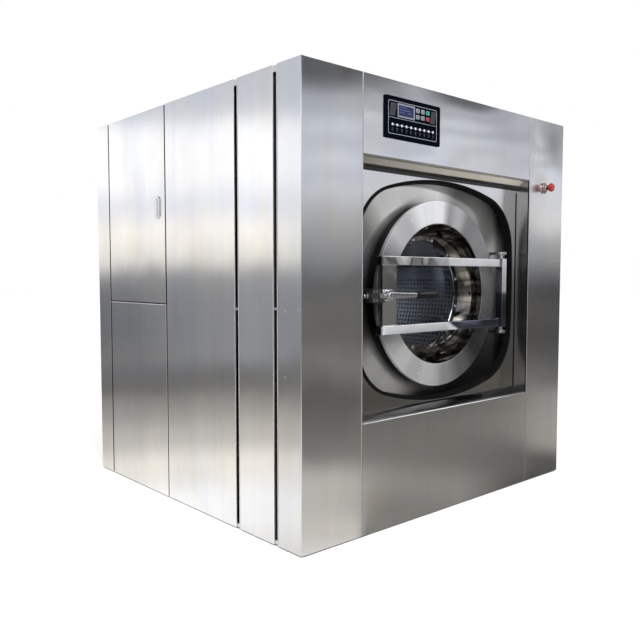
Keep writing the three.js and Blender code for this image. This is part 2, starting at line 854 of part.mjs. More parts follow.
// Tub: rolled shell with a drain sump, polished front with its throat collar, ribbed back with its bearings
function tubShell() {
  const innerRadius = tubRadius - tubWall;
  const front = tubPlateBack + seatGap;
  const back = tubRearInside - seatGap;
  const shell = turned([[innerRadius, front], [tubRadius, front], [tubRadius, back], [innerRadius, back]]);
  const sumpY = tubRearInside - sumpSetback;
  const top = axisHeight - tubRadius * sumpTopShare;
  const bottom = axisHeight - tubRadius - sumpDrop;
  const outer = rodZ(sumpRadius, bottom, top, 0, sumpY);
  const bore = rodZ(sumpRadius - tubWall, bottom - overrun, top + overrun, 0, sumpY);
  const inside = turned([[0, front], [innerRadius, front], [innerRadius, back], [0, back]]);
  return cut(join(shell, cut(outer, inside)), bore);
}
piece("tub_shell", tubShell(), polished());

function tubFront() {
  const rim = tubRadius + tubFlange;
  const collarOuter = throatRadius + tubWall;
  const flangeRadius = throatRadius + collarFlange;
  return turned([
    [throatRadius, collarFace], [flangeRadius, collarFace], [flangeRadius, collarFace + collarPlate],
    [collarOuter, collarFace + collarPlate], [collarOuter, tubPlateFace], [rim - bendRadius, tubPlateFace],
    [rim, tubPlateFace + bendRadius], [rim, tubPlateBack], [throatRadius, tubPlateBack],
  ]);
}
piece("tub_front", tubFront(), polished());

function tubBack() {
  const plate = turned([
    [boreRadius, tubRearInside], [tubRadius, tubRearInside], [tubRadius, tubBackFace],
    [housingRadius, tubBackFace], [housingNoseRadius, bearingEnd - housingRadius],
    [housingNoseRadius, bearingEnd], [boreRadius, bearingEnd],
  ]);
  const rib = shapeOf([
    [boreRadius + shaftRadius / 2, tubBackFace - weld], [ribReach, tubBackFace - weld],
    [ribReach, tubBackFace + ribThickness], [housingNoseRadius, tubBackFace + ribHeight],
    [boreRadius + shaftRadius / 2, tubBackFace + ribHeight],
  ]);
  const ribs = [];
  for (let i = 0; i < ribCount; i++) {
    const geometry = extrudeZ(rib, -ribThickness / 2, ribThickness / 2);
    ribs.push(geometry.rotateY(((i + 0.5) / ribCount) * fullTurn).translate(0, 0, axisHeight));
  }
  return join(plate, ...ribs);
}
piece("tub_back", tubBack(), paintedSteel());

// Door seal on the collar's flange
function doorGasket() {
  const innerEdge = throatRadius + gasketInset;
  const outerEdge = innerEdge + gasketWidth;
  const back = collarFace - seatGap;
  const front = ringBack + seatGap;
  return turned([
    [innerEdge, back], [innerEdge + gasketLip, front], [outerEdge - gasketLip, front], [outerEdge, back],
  ]);
}
piece("door_gasket", doorGasket(), blackRubber());

// Spring cradles: a box beam each side, hung from the tub on gussets, with spring seats and the damper's rod
function cradle() {
  const x0 = -cradleOffset - cradleWidth / 2;
  const x1 = -cradleOffset + cradleWidth / 2;
  const top = cradleBottom + cradleHeight;
  const beam = block(x0, x1, cradleFront, cradleBack, cradleBottom, top);
  const hollow = block(x0 + tubWall, x1 - tubWall, cradleFront - overrun, cradleBack + overrun,
    cradleBottom + tubWall, top - tubWall);
  const shellRadius = tubRadius + seatGap / Math.cos(Math.PI / fine);
  const shellSpace = rodY(shellRadius, cradleFront - overrun, cradleBack + overrun, 0, axisHeight, fine);
  const parts = [cut(beam, hollow)];
  for (const share of gussetShares) {
    const y = cradleFront + cradleLength * share;
    const plate = shapeOf([
      [-tubRadius / 2, cradleBottom + tubWall], [x1 - weld, cradleBottom + tubWall], [x1 - weld, top - weld],
      [x0, top - weld], [-tubRadius, gussetTop], [-tubRadius / 2, gussetTop],
    ]);
    parts.push(cut(extrudeY(plate, y - gussetThickness / 2, y + gussetThickness / 2), shellSpace));
  }
  for (const y of springRows) {
    parts.push(rodZ(springCupRadius, cradleBottom, cradleBottom + springSeatThickness, -cradleOffset, y));
  }
  const rodLow = railHeight + damperTubeHeight - damperRodEngaged;
  parts.push(rodZ(damperRodRadius, rodLow, cradleBottom + tubWall / 2, -cradleOffset, damperRow));
  return join(...parts);
}
piece("cradle_left", cradle(), paintedSteel());
piece("cradle_right", mirrored(cradle()), paintedSteel());

// Coil springs: one unbroken wire each, its end turns closed up and ground flat
const springLow = railHeight + springCupFloor + seatGap;
const springHigh = cradleBottom - seatGap;

function coilSpring() {
  const steps = coilSteps * springTurns;
  const wire = springWire / 2;
  const reach = wire * Math.cos(Math.PI / (2 * wireSides));
  const rise = springHigh - springLow - 2 * reach;
  const endShare = 1 / springTurns;
  const climb = (t) => {
    const closing = springWire / rise;
    if (t < endShare) return (closing * t) / endShare;
    if (t > 1 - endShare) return 1 - (closing * (1 - t)) / endShare;
    return closing + ((t - endShare) / (1 - 2 * endShare)) * (1 - 2 * closing);
  };
  const points = [];
  for (let i = 0; i <= steps; i++) {
    const t = i / steps;
    const angle = t * springTurns * fullTurn;
    const x = springMeanRadius * Math.cos(angle);
    const y = springMeanRadius * Math.sin(angle);
    points.push(new THREE.Vector3(x, y, springLow + reach + rise * climb(t)));
  }
  return sweptWire(points, wire, wireSides);
}

function sweptWire(points, radius, sides) {
  const places = [];
  const faces = [];
  const count = points.length;
  points.forEach((point, i) => {
    const before = points[Math.max(i - 1, 0)];
    const after = points[Math.min(i + 1, count - 1)];
    const tangent = after.clone().sub(before).normalize();
    const outward = new THREE.Vector3(point.x, point.y, 0).normalize();
    outward.addScaledVector(tangent, -outward.dot(tangent)).normalize();
    const upward = tangent.clone().cross(outward);
    for (let k = 0; k < sides; k++) {
      const angle = (k / sides) * fullTurn;
      const rim = point.clone();
      rim.addScaledVector(outward, radius * Math.cos(angle));
      rim.addScaledVector(upward, radius * Math.sin(angle));
      places.push(rim.x, rim.y, rim.z);
    }
  });
  for (let i = 0; i < count - 1; i++) {
    for (let k = 0; k < sides; k++) {
      const a = i * sides + k;
      const b = i * sides + ((k + 1) % sides);
      faces.push(a, b, b + sides, a, b + sides, a + sides);
    }
  }
  for (let k = 1; k < sides - 1; k++) {
    const last = (count - 1) * sides;
    faces.push(0, k + 1, k, last, last + k, last + k + 1);
  }
  const geometry = new THREE.BufferGeometry();
  geometry.setAttribute("position", new THREE.Float32BufferAttribute(places, 3));
  geometry.setIndex(faces);
  return geometry;
}

const springSteel = () => metal(0x3a3d42, 0.5);
springRows.forEach((y, i) => {
  const row = i === 0 ? "front" : "rear";
  piece(`spring_${row}_left`, coilSpring().translate(-cradleOffset, y, 0), springSteel());
  piece(`spring_${row}_right`, coilSpring().translate(cradleOffset, y, 0), springSteel());
});

// Drum: perforated wall with its rolled mouth, and the back plate with spider arms, hub and shaft
const drumInner = drumRadius - drumWall;
const bay = fullTurn / lifterCount;

function drumShell() {
  const backEdge = drumBackInside + drumBackPlate;
  const wall = turned([
    [drumMouthRadius, drumFront], [drumRadius, drumFront], [drumRadius, backEdge], [drumInner, backEdge],
    [drumInner, drumFront + drumWall], [drumMouthRadius + drumWall, drumFront + drumWall],
    [drumMouthRadius + drumWall, drumFront + drumLipRoll], [drumMouthRadius, drumFront + drumLipRoll],
  ]);
  const holes = [];
  const firstRow = drumFront + drumLength / (holeRowsPerBay * 2);
  const edge = Math.atan2(lifterBaseWidth, drumRadius);
  for (let sector = 0; sector < lifterCount; sector++) {
    for (let row = 0; row < holeRowsPerBay; row++) {
      for (let column = 0; column < holeColumnsPerBay; column++) {
        const step = (bay - edge) / holeColumnsPerBay;
        const angle = lifterStart + sector * bay + edge / 2 + (column + 0.5) * step;
        const hole = new THREE.CylinderGeometry(holeRadius, holeRadius, holeToolDepth, hexagon);
        hole.translate(0, drumRadius, 0).rotateZ(-quarterTurn);
        hole.rotateY(-angle).translate(0, firstRow + (row * drumLength) / holeRowsPerBay, axisHeight);
        holes.push(hole);
      }
    }
  }
  return cut(wall, ...holes);
}
piece("drum_shell", drumShell(), polished());

function drumBack() {
  const plateRadius = drumInner - seatGap;
  const hubFace = drumBackInside - drumHubLength;
  const back = drumBackInside + drumBackPlate;
  const plate = turned([
    [0, hubFace], [drumHubRadius / 2, hubFace], [drumHubRadius, drumBackInside],
    [plateRadius, drumBackInside], [plateRadius, back], [shaftRadius, back],
    [shaftRadius, pulleyBack + weld], [0, pulleyBack + weld],
  ]);
  const arms = [];
  const half = spiderArmWidth / 2;
  for (let i = 0; i < lifterCount; i++) {
    const arm = block(0, plateRadius * spiderShare, back - weld, back + spiderArmDepth, -half, half);
    arms.push(arm.rotateY(i * bay).translate(0, 0, axisHeight));
  }
  return join(plate, ...arms);
}
piece("drum_back", drumBack(), polished());

// Lifters: tapered beams along the wall, following its curve underneath
function lifter(index) {
  const base = lifterBaseWidth / 2;
  const crest = lifterCrestWidth / 2;
  const foot = drumRadius;
  const top = drumInner - lifterHeight;
  const shape = new THREE.Shape();
  shape.moveTo(foot, -base);
  shape.lineTo(top + crest, -crest);
  shape.absarc(top + crest, 0, crest, -quarterTurn, -quarterTurn * 3, true);
  shape.lineTo(foot, base);
  const front = drumFront + drumLipRoll + lifterEndGap;
  const beam = extrudeY(shape, front, drumBackInside - lifterEndGap, roundEnd);
  const wallSpace = rodY(drumInner - seatGap, drumFront, drumBackInside, 0, 0, fine);
  const seated = overlapOf(beam, wallSpace.rotateY(lifterStart));
  return seated.rotateY(-lifterStart - index * bay).translate(0, 0, axisHeight);
}
for (let i = 0; i < lifterCount; i++) piece(`lifter_${i + 1}`, lifter(i), polished());

// Pulleys with V grooves, and the belt that runs on their rims
function grooves(radius) {
  const pitch = pulleyWidth / grooveCount;
  const points = [];
  for (let i = 0; i < grooveCount; i++) {
    const start = pulleyFront + i * pitch;
    points.push([radius, start], [radius - grooveDepth, start + pitch / 2]);
  }
  points.push([radius, pulleyBack]);
  return points;
}

function drumPulley() {
  const bore = around(shaftRadius, medium);
  const middle = (pulleyFront + pulleyBack) / 2;
  const rimInner = drumPulleyRadius - rimThickness;
  const web = webThickness / 2;
  const wheel = turned([
    ...grooves(drumPulleyRadius), [rimInner, pulleyBack], [rimInner, middle + web],
    [pulleyHubRadius, middle + web], [pulleyHubRadius, pulleyBack], [bore, pulleyBack],
    [bore, pulleyFront], [pulleyHubRadius, pulleyFront], [pulleyHubRadius, middle - web],
    [rimInner, middle - web], [rimInner, pulleyFront],
  ], medium);
  const windows = [];
  const windowRing = (rimInner + pulleyHubRadius) / 2;
  for (let i = 0; i < pulleyWindowCount; i++) {
    const angle = (i / pulleyWindowCount) * fullTurn;
    const x = windowRing * Math.cos(angle);
    const z = axisHeight + windowRing * Math.sin(angle);
    windows.push(rodY(pulleyWindowRadius, pulleyFront, pulleyBack, x, z));
  }
  return cut(wheel, ...windows);
}
piece("drum_pulley", drumPulley(), paintedSteel());

const motorX = motorOffsetX;
const motorZ = axisHeight - motorDrop;
const motorFront = tubBackFace + seatGap;
const motorBack = motorFront + motorFlangeThickness + motorLength;

function motorPulley() {
  const profile = [...grooves(motorPulleyRadius), [0, pulleyBack], [0, pulleyFront]];
  const wheel = turned(profile, round, motorX, motorZ);
  const shaft = rodY(motorShaftRadius, motorBack - motorShaftDepth, pulleyFront + weld, motorX, motorZ);
  return join(wheel, shaft);
}
piece("motor_pulley", motorPulley(), paintedSteel());

function motorBody() {
  const half = motorFlangeSize / 2;
  const flangeEnd = motorFront + motorFlangeThickness;
  const corner = half * motorCornerShare;
  const outline = roundedRectangle(motorX - half, motorX + half, motorZ - half, motorZ + half, corner);
  const parts = [extrudeY(outline, motorFront, flangeEnd)];
  parts.push(rodY(motorRadius - motorFinDepth, flangeEnd - weld, motorBack, motorX, motorZ, medium));
  for (let i = 0; i < motorFinCount; i++) {
    const fin = block(0, motorRadius, flangeEnd + motorFinDepth, motorBack - motorFinDepth,
      -motorFinThickness / 2, motorFinThickness / 2);
    parts.push(fin.rotateY((i / motorFinCount) * fullTurn).translate(motorX, 0, motorZ));
  }
  const boxFront = flangeEnd + terminalBoxSetback;
  const boxHalf = terminalBoxSize / 2;
  parts.push(block(motorX + motorRadius / 2, motorX + motorRadius + terminalBoxReach, boxFront,
    boxFront + terminalBoxSize, motorZ - boxHalf, motorZ + boxHalf));
  const deep = motorBack - motorBoreDepth;
  const bore = rodY(around(motorShaftRadius), deep, motorBack + overrun, motorX, motorZ);
  return cut(join(...parts), bore);
}
piece("motor_body", motorBody(), paintedSteel());

// The belt's loop: two arcs joined by the outer tangents
function beltLoop(margin) {
  const big = drumPulleyRadius + margin;
  const small = motorPulleyRadius + margin;
  const apart = Math.hypot(motorX, motorDrop);
  const heading = Math.atan2(-motorDrop, motorX);
  const spread = Math.acos((big - small) / apart);
  const points = [];
  const arc = (x, z, radius, from, to, steps) => {
    const reach = radius / Math.cos((to - from) / steps / 2);
    for (let i = 0; i <= steps; i++) {
      const angle = from + ((to - from) * i) / steps;
      points.push([x + reach * Math.cos(angle), z + reach * Math.sin(angle)]);
    }
  };
  arc(0, axisHeight, big, heading + spread, heading - spread + fullTurn, medium);
  arc(motorX, motorZ, small, heading - spread, heading + spread, beltNoseSteps);
  return points;
}

function driveBelt() {
  const clear = seatGap + beltSag;
  const loop = ringBetween(beltLoop(clear + beltThickness), beltLoop(clear));
  return extrudeY(loop, pulleyFront + beltInset, pulleyBack - beltInset);
}
piece("drive_belt", driveBelt(), blackRubber());

// Door: flat ring, the dished bowl inside it, the glass and its clamp
function doorRing() {
  return turned([
    [ringInnerRadius, ringBack], [ringInnerRadius, ringFront + ringEdge],
    [ringInnerRadius + ringEdge, ringFront], [ringOuterRadius - ringEdge, ringFront],
    [ringOuterRadius, ringFront + ringEdge], [ringOuterRadius, ringBack],
  ], doorSides);
}
piece("door_ring", doorRing(), polished());

function doorBowl() {
  const rim = ringInnerRadius - seatGap;
  const front = ringFront + bowlLipSetback;
  const elbow = front + bowlSocketDepth;
  const pull = new THREE.Vector2(rim - bowlPull, (elbow + glassFront) / 2 + bowlPull);
  const flange = new THREE.Vector2(bowlFlangeRadius, glassFront - bowlWall);
  const curve = new THREE.QuadraticBezierCurve(new THREE.Vector2(rim, elbow), pull, flange);
  const bend = curve.getPoints(bowlSteps);
  const seen = bend.map((p) => [p.x - bowlWall, p.y]);
  const behind = bend.map((p) => [p.x, p.y]);
  const shell = turned([
    [rim, front], ...behind, [bowlFlangeRadius, glassFront], [glassSightRadius, glassFront],
    [glassSightRadius, glassFront - bowlWall], ...seen.reverse(), [rim - bowlWall, front],
  ], doorSides);
  const heads = [];
  const ring = (glassSightRadius + bowlFlangeRadius - bowlWall) / 2;
  for (let i = 0; i < glassBoltCount; i++) {
    const angle = ((i + 0.5) / glassBoltCount) * fullTurn;
    const x = ring * Math.cos(angle);
    const z = axisHeight + ring * Math.sin(angle);
    const top = glassFront - bowlWall - glassBoltHeight;
    heads.push(rodY(glassBoltRadius, top, glassFront - weld, x, z, hexagon));
  }
  return join(shell, ...heads);
}
piece("door_bowl", doorBowl(), polished());

const glassSeat = glassFront + seatGap;
const glassBack = glassSeat + glassThickness;
function doorGlass() {
  const curve = glassThickness * glassCurveShare;
  return turned([
    [0, glassSeat + curve], [glassSightRadius - curve, glassSeat + curve], [glassSightRadius, glassSeat],
    [glassRadius, glassSeat], [glassRadius, glassBack], [0, glassBack],
  ], doorSides);
}
piece("door_glass", doorGlass(), glass());

function glassClamp() {
  const rimInner = glassRadius + seatGap;
  const front = glassSeat;
  const back = glassBack + seatGap;
  return turned([
    [rimInner, front], [rimInner + clampRim, front], [rimInner + clampRim, back + clampThickness],
    [glassSightRadius, back + clampThickness], [glassSightRadius, back], [rimInner, back],
  ], doorSides);
}
piece("glass_clamp", glassClamp(), brushed());

// Yoke: two square bars and a flat plate across the ring, carried by the hinge post
const upperBar = axisHeight + barSpacing / 2;
const lowerBar = axisHeight - barSpacing / 2;
const postLow = axisHeight - postLength / 2;
const postHigh = axisHeight + postLength / 2;
const postLeft = hingeOffset - postSize / 2;

function yoke() {
  const outline = new THREE.Shape();
  outline.moveTo(postLeft + weld, barBack);
  outline.lineTo(-barLeftReach, barBack);
  outline.lineTo(-barLeftReach, barFront + barNose);
  outline.absarc(-barLeftReach + barNose, barFront + barNose, barNose, quarterTurn * 2, quarterTurn * 3);
  outline.lineTo(postLeft + weld, barFront);
  const half = barSize / 2;
  const parts = [upperBar, lowerBar].map((z) => extrudeZ(outline, z - half, z + half));
  const postFront = hingeY - postSize / 2;
  const post = roundedRectangle(postLeft, postLeft + postSize, postFront, postFront + postSize, ringEdge);
  parts.push(extrudeZ(post, postLow, postHigh, smallCorner));
  const plateLeft = -barLeftReach + yokePlateInset;
  const plateBack = yokePlateFront + yokePlateThickness;
  parts.push(block(plateLeft, plateLeft + yokePlateWidth, yokePlateFront, plateBack,
    lowerBar + half - weld, upperBar - half + weld));
  const deep = hingePinEngaged + seatGap;
  const bores = [
    rodZ(hingeBoreRadius, postHigh - deep, postHigh + overrun, hingeOffset, hingeY),
    rodZ(hingeBoreRadius, postLow - overrun, postLow + deep, hingeOffset, hingeY),
    rodY(around(handleShaftRadius), barFront, barBack, -handleOffset, axisHeight),
  ];
  return cut(join(...parts), ...bores);
}
piece("door_yoke", yoke(), polished());

// Hinge bracket on the tub's front: a plate, two lugs and their pins
function hingeBracket() {
  const left = hingeOffset - lugWidth / 2;
  const right = hingeOffset + lugWidth / 2;
  const back = tubPlateFace - seatGap;
  const front = hingeY - lugOverhang;
  const corner = lugWidth * lugCornerShare;
  const lug = new THREE.Shape();
  lug.moveTo(left, back);
  lug.lineTo(left, front + corner);
  lug.absarc(left + corner, front + corner, corner, quarterTurn * 2, quarterTurn * 3);
  lug.lineTo(right - corner, front);
  lug.absarc(right - corner, front + corner, corner, -quarterTurn, 0);
  lug.lineTo(right, back);
  const parts = [];
  for (const way of [-1, 1]) {
    const near = axisHeight + way * (postLength / 2 + hingePinFree);
    const far = near + way * lugThickness;
    const tip = axisHeight + way * (postLength / 2 - hingePinEngaged);
    parts.push(extrudeZ(lug, Math.min(near, far), Math.max(near, far), plainCorner));
    parts.push(rodZ(hingePinRadius, Math.min(tip, far), Math.max(tip, far), hingeOffset, hingeY));
  }
  const reach = postLength / 2 + hingePinFree + lugThickness;
  parts.push(block(left, right, back - bracketPlate, back, axisHeight - reach, axisHeight + reach));
  return join(...parts);
}
piece("hinge_bracket", hingeBracket(), polished());

// Lock block on the tub's front, open towards the front and the top for the handle's tongue
function lockBlock() {
  const front = ringFront - lockStandOff;
  const low = axisHeight - lockHeight / 2;
  const high = axisHeight + lockHeight / 2;
  const body = block(-lockLeft, -lockRight, front, tubPlateFace - seatGap, low, high);
  const notch = block(-lockRight - lockNotchWidth, -lockRight + overrun, front - overrun,
    front + lockNotchDepth, axisHeight - lockNotchFloor, high + overrun);
  const knobRow = front + lockPinLength;
  const root = -lockLeft + weld;
  const knob = rodX(lockPinRadius, -lockLeft - lockPinLength, root, knobRow, axisHeight);
  const collarRadius = lockPinRadius * knobCollarShare;
  const collar = rodX(collarRadius, -lockLeft - knobCollarLength, root, knobRow, axisHeight, hexagon);
  return join(cut(body, notch), knob, collar);
}
piece("lock_block", lockBlock(), blackPlastic());

// Door handle: hub, shaft, tongue and lever in one, with a moulded grip on the lever's end
const hubBack = yokePlateFront - seatGap;
const hubFront = hubBack - hubLength;
const leverBack = hubFront + leverInset;
const leverFront = leverBack - leverThickness;
const leverMiddle = (leverBack + leverFront) / 2;
const leverEnd = -handleOffset + leverLength;

function doorHandle() {
  const tongueBack = hubBack - tongueStandOff;
  const tongueTop = axisHeight + tongueWidth / 2;
  const tongue = roundedRectangle(-handleOffset - tongueLength, -handleOffset, tongueTop - tongueWidth,
    tongueTop, tongueCorner);
  const rootHalf = hubRadius * leverRootShare;
  const endHalf = leverWidth / 2;
  const lever = shapeOf([
    [-handleOffset, axisHeight - rootHalf], [leverEnd, axisHeight - endHalf],
    [leverEnd, axisHeight + endHalf], [-handleOffset, axisHeight + rootHalf],
  ]);
  const shaftEnd = hubBack + yokePlateThickness + handleShaftEnd;
  return join(
    rodY(hubRadius, hubFront, hubBack, -handleOffset, axisHeight, medium),
    rodY(handleShaftRadius, hubBack - weld, shaftEnd, -handleOffset, axisHeight),
    extrudeY(tongue, tongueBack - tongueThickness, tongueBack, plainCorner),
    extrudeY(lever, leverFront, leverBack),
    rodX(gripBore, leverEnd - weld, leverEnd + gripLength * gripBoreShare, leverMiddle, axisHeight),
  );
}
piece("door_handle", doorHandle(), polished());

function handleGrip() {
  const start = seatGap;
  const bore = around(gripBore);
  const boreEnd = gripLength * gripBoreShare + seatGap * 2;
  const profile = [[bore, start], [gripRadius - ringEdge, start], [gripRadius, start + ringEdge]];
  for (let i = 0; i < gripSteps; i++) {
    const angle = (i / gripSteps) * quarterTurn;
    profile.push([gripRadius * Math.cos(angle), gripLength - gripRadius * (1 - Math.sin(angle))]);
  }
  profile.push([0, gripLength], [0, boreEnd], [bore, boreEnd]);
  const points = [...profile, profile[0]].map(([r, y]) => new THREE.Vector2(r, y));
  const grip = new THREE.LatheGeometry(points, coarse);
  return grip.rotateZ(-quarterTurn).translate(leverEnd, leverMiddle, axisHeight);
}
piece("handle_grip", handleGrip(), blackPlastic());

// Control panel: housing behind the skin, overlay plate in front, and its keys
const plateBack = frontFace - seatGap;
const plateFront = plateBack - controlThickness;
const controlRight = -controlLeft + controlWidth;
const screenLeft = controlLeft - screenInset;
const screenBottom = controlBottom + screenRise;

function controlBox() {
  const front = frontFace + sheet + seatGap;
  const back = front + controlBoxDepth;
  const left = -controlLeft - controlBoxMargin;
  const right = controlRight + controlBoxMargin;
  const low = controlBottom - controlBoxMargin;
  const high = controlTop + controlBoxMargin;
  const outer = block(left, right, front, back, low, high);
  const room = block(left + sheet, right - sheet, frontFace, back - sheet, low + sheet, high - sheet);
  return cut(outer, room);
}
piece("control_box", controlBox(), paintedSteel());

const keys = [];
for (let column = 0; column < keyColumns; column++) {
  for (let row = 0; row < keyRows; row++) {
    const x = keyInset - controlLeft + column * keyColumnPitch;
    keys.push({ x, z: controlBottom + keyRise + row * keyRowPitch });
  }
}

function keyOutline(key, margin) {
  const halfW = keyWidth / 2 + margin;
  const halfH = keyHeight / 2 + margin;
  return roundedRectangle(key.x - halfW, key.x + halfW, key.z - halfH, key.z + halfH, keyCorner + margin);
}

function controlPlate() {
  const outline = roundedRectangle(-controlLeft, controlRight, controlBottom, controlTop, controlCorner);
  const parts = [extrudeY(outline, plateFront, plateBack, plainCorner)];
  const screenRight = -screenLeft + screenWidth;
  const screenTop = screenBottom + screenHeight;
  const frame = roundedRectangle(-screenLeft, screenRight, screenBottom, screenTop, screenCorner);
  parts.push(extrudeY(frame, plateFront - screenRelief, plateFront + weld, smallCorner));
  const windowCut = block(-screenLeft + screenFrame, screenRight - screenFrame, plateFront - overrun,
    plateFront + screenRelief, screenBottom + screenFrame, screenTop - screenFrame);
  const start = plateFront - overrun;
  const end = plateBack + overrun;
  const holes = keys.map((key) => extrudeY(keyOutline(key, seatGap), start, end, bevelCorner));
  return cut(join(...parts), windowCut, ...holes);
}
piece("control_plate", controlPlate(), blackPlastic());

const keyNames = ["key_down", "key_up", "key_back", "key_enter", "key_stop", "key_start"];
const keyColors = [0xc9ccd2, 0xc9ccd2, 0xc9ccd2, 0xc9ccd2, 0xc0343c, 0x35b08a];
keys.forEach((key, i) => {
  const back = plateBack - keyTravel - seatGap;
  const cap = extrudeY(keyOutline(key, 0), plateFront - keyProud, back, bevelCorner);
  piece(keyNames[i], cap, plain(keyColors[i], 0.4));
});

// Emergency stop: fixed collar, sliding stem, twisting mushroom head
const stopFace = frontFace - seatGap;
const collarFront = stopFace - stopFlangeThickness - stopCollarLength;
const headBack = collarFront - stopTravel - stopHeadClearance;

function stopCollar() {
  const back = frontFace + stopBarrelLength;
  const flangeFront = stopFace - stopFlangeThickness;
  return turned([
    [stopBoreRadius, back], [stopBarrelRadius, back], [stopBarrelRadius, stopFace],
    [stopFlangeRadius, stopFace], [stopFlangeRadius, flangeFront + stopFlangeEdge],
    [stopFlangeRadius - stopFlangeEdge, flangeFront], [stopCollarRadius, flangeFront],
    [stopCollarRadius, collarFront], [stopBoreRadius, collarFront],
  ], round, stopOffset, stopHeight);
}
piece("stop_collar", stopCollar(), polished());

function stopStem() {
  const front = headBack - stopSocketDepth + seatGap;
  return rodY(stopStemRadius, front, front + stopStemLength, stopOffset, stopHeight);
}
piece("stop_stem", stopStem(), blackPlastic());

function stopHead() {
  const points = [];
  const sides = stopHeadLobes * stopLobeSides;
  const bevelSize = stopHeadBevel * stopRoundShare;
  for (let i = 0; i < sides; i++) {
    const angle = (i / sides) * fullTurn;
    const radius = stopHeadRadius - bevelSize + stopLobe * (Math.cos(angle * stopHeadLobes) - 1);
    points.push([radius * Math.cos(angle), radius * Math.sin(angle)]);
  }
  const depth = stopHeadLength - stopHeadBevel * 2;
  const bevel = { depth, bevelThickness: stopHeadBevel, bevelSize, bevelSegments: 1 };
  const head = new THREE.ExtrudeGeometry(shapeOf(points), bevel);
  const middle = headBack - stopHeadBevel;
  const mushroom = head.applyMatrix4(alongY).translate(stopOffset, middle, stopHeight);
  const neck = rodY(stopCollarRadius - stopHeadClearance, middle, headBack, stopOffset, stopHeight);
  const deep = headBack - stopSocketDepth;
  const socket = rodY(around(stopStemRadius), deep, headBack + overrun, stopOffset, stopHeight);
  return cut(join(mushroom, neck), socket);
}
piece("stop_head", stopHead(), plain(0xc21f24, 0.35));

// Service door and its turning lock handle
piece("service_door", serviceDoor(), brushed());

function serviceLock() {
  const seat = -halfWidth - seatGap;
  const long = serviceLockLength / 2;
  const wide = serviceLockWidth / 2;
  const y = serviceLockRow;
  const z = serviceLockHeight;
  const oval = roundedRectangle(y - wide, y + wide, z - long, z + long, wide);
  const slim = wide * serviceRidgeShare;
  const ridgeHalf = long - wide / 2;
  const ridge = roundedRectangle(y - slim, y + slim, z - ridgeHalf, z + ridgeHalf, slim);
  const deep = -halfWidth + serviceLockReach;
  const half = serviceTongueWidth / 2;
  const tongueTop = z + serviceTongueLength;
  const tongue = roundedRectangle(y - half, y + half, z - half, tongueTop, serviceTongueCorner);
  return join(
    extrudeX(oval, seat - serviceLockThickness / 2, seat, roundEnd),
    extrudeX(ridge, seat - serviceLockThickness, seat, smallCorner),
    rodX(serviceLockShaft, seat - weld, deep + weld, y, z),
    extrudeX(tongue, deep, deep + serviceTongueThickness, smallCorner),
  );
}
piece("service_lock", serviceLock(), brushed());

// Rear panel with louvred vents, the supply stubs, the drain and the cable gland
const rearHalf = halfWidth - rearPillarReach - seamGap;
const inletSpread = inletPitch * ((inletCount - 1) / 2);
const inletOffsets = Array.from({ length: inletCount }, (_, i) => i * inletPitch - inletSpread);

function rearPanel() {
  const weldFace = rearFace - sheet / 2;
  const edge = block(rearHalf - sheet, rearHalf, rearFace - flangeDepth, weldFace, skirtGap, cabinetHeight);
  const face = block(-rearHalf, rearHalf, rearFace - sheet, rearFace, skirtGap, cabinetHeight);
  const half = louvreLength / 2;
  const through = [rearFace - overrun, rearFace + overrun];
  const slots = [];
  const hoods = [];
  for (let i = 0; i < louvreCount; i++) {
    const low = louvreBottom + i * louvrePitch;
    const high = low + louvreOpening;
    slots.push(block(-half, half, ...through, low, high));
    hoods.push(extrudeX(shapeOf([
      [rearFace - sheet, high], [rearFace + louvreHood, low], [rearFace + louvreHood, low + sheet],
      [rearFace, high + sheet], [rearFace - sheet, high + sheet],
    ]), -half, half));
  }
  const pipes = [
    rodY(around(drainRadius, round), ...through, drainOffset, drainHeight, round),
    rodY(around(glandThreadRadius), ...through, glandOffset, glandHeight),
    ...inletOffsets.map((x) => rodY(inletBore + sheet, ...through, x, inletHeight)),
  ];
  return notched(cut(join(cut(join(face, edge, mirrored(edge)), ...slots), ...hoods), ...pipes));
}
piece("rear_panel", rearPanel(), brushed());

// Water and steam stubs on one plate
function supplyInlets() {
  const seat = rearFace + seatGap;
  const halfPlate = inletSpread + inletPlateMargin;
  const low = inletHeight - inletPlateHeight / 2;
  const plate = roundedRectangle(-halfPlate, halfPlate, low, low + inletPlateHeight, inletPlateCorner);
  const parts = [extrudeY(plate, seat, seat + inletPlateThickness, plainCorner)];
  const bores = [];
  for (const x of inletOffsets) {
    parts.push(rodY(inletRadius, seat, rearFace + inletReach, x, inletHeight));
    bores.push(rodY(inletBore, seat - overrun, rearFace + inletReach + overrun, x, inletHeight));
  }
  return cut(join(...parts), ...bores);
}
piece("supply_inlets", supplyInlets(), brushed());

// Drain pipe through the rear panel, with its flange
function drainOutlet() {
  const innerRadius = drainRadius - drainWall;
  const seat = rearFace + seatGap;
  return turned([
    [innerRadius, rearFace - drainInside], [drainRadius, rearFace - drainInside], [drainRadius, seat],
    [drainFlange, seat], [drainFlange, seat + inletPlateThickness], [drainRadius, seat + inletPlateThickness],
    [drainRadius, rearFace + inletReach], [innerRadius, rearFace + inletReach],
  ], round, drainOffset, drainHeight);
}
piece("drain_outlet", drainOutlet(), brushed());

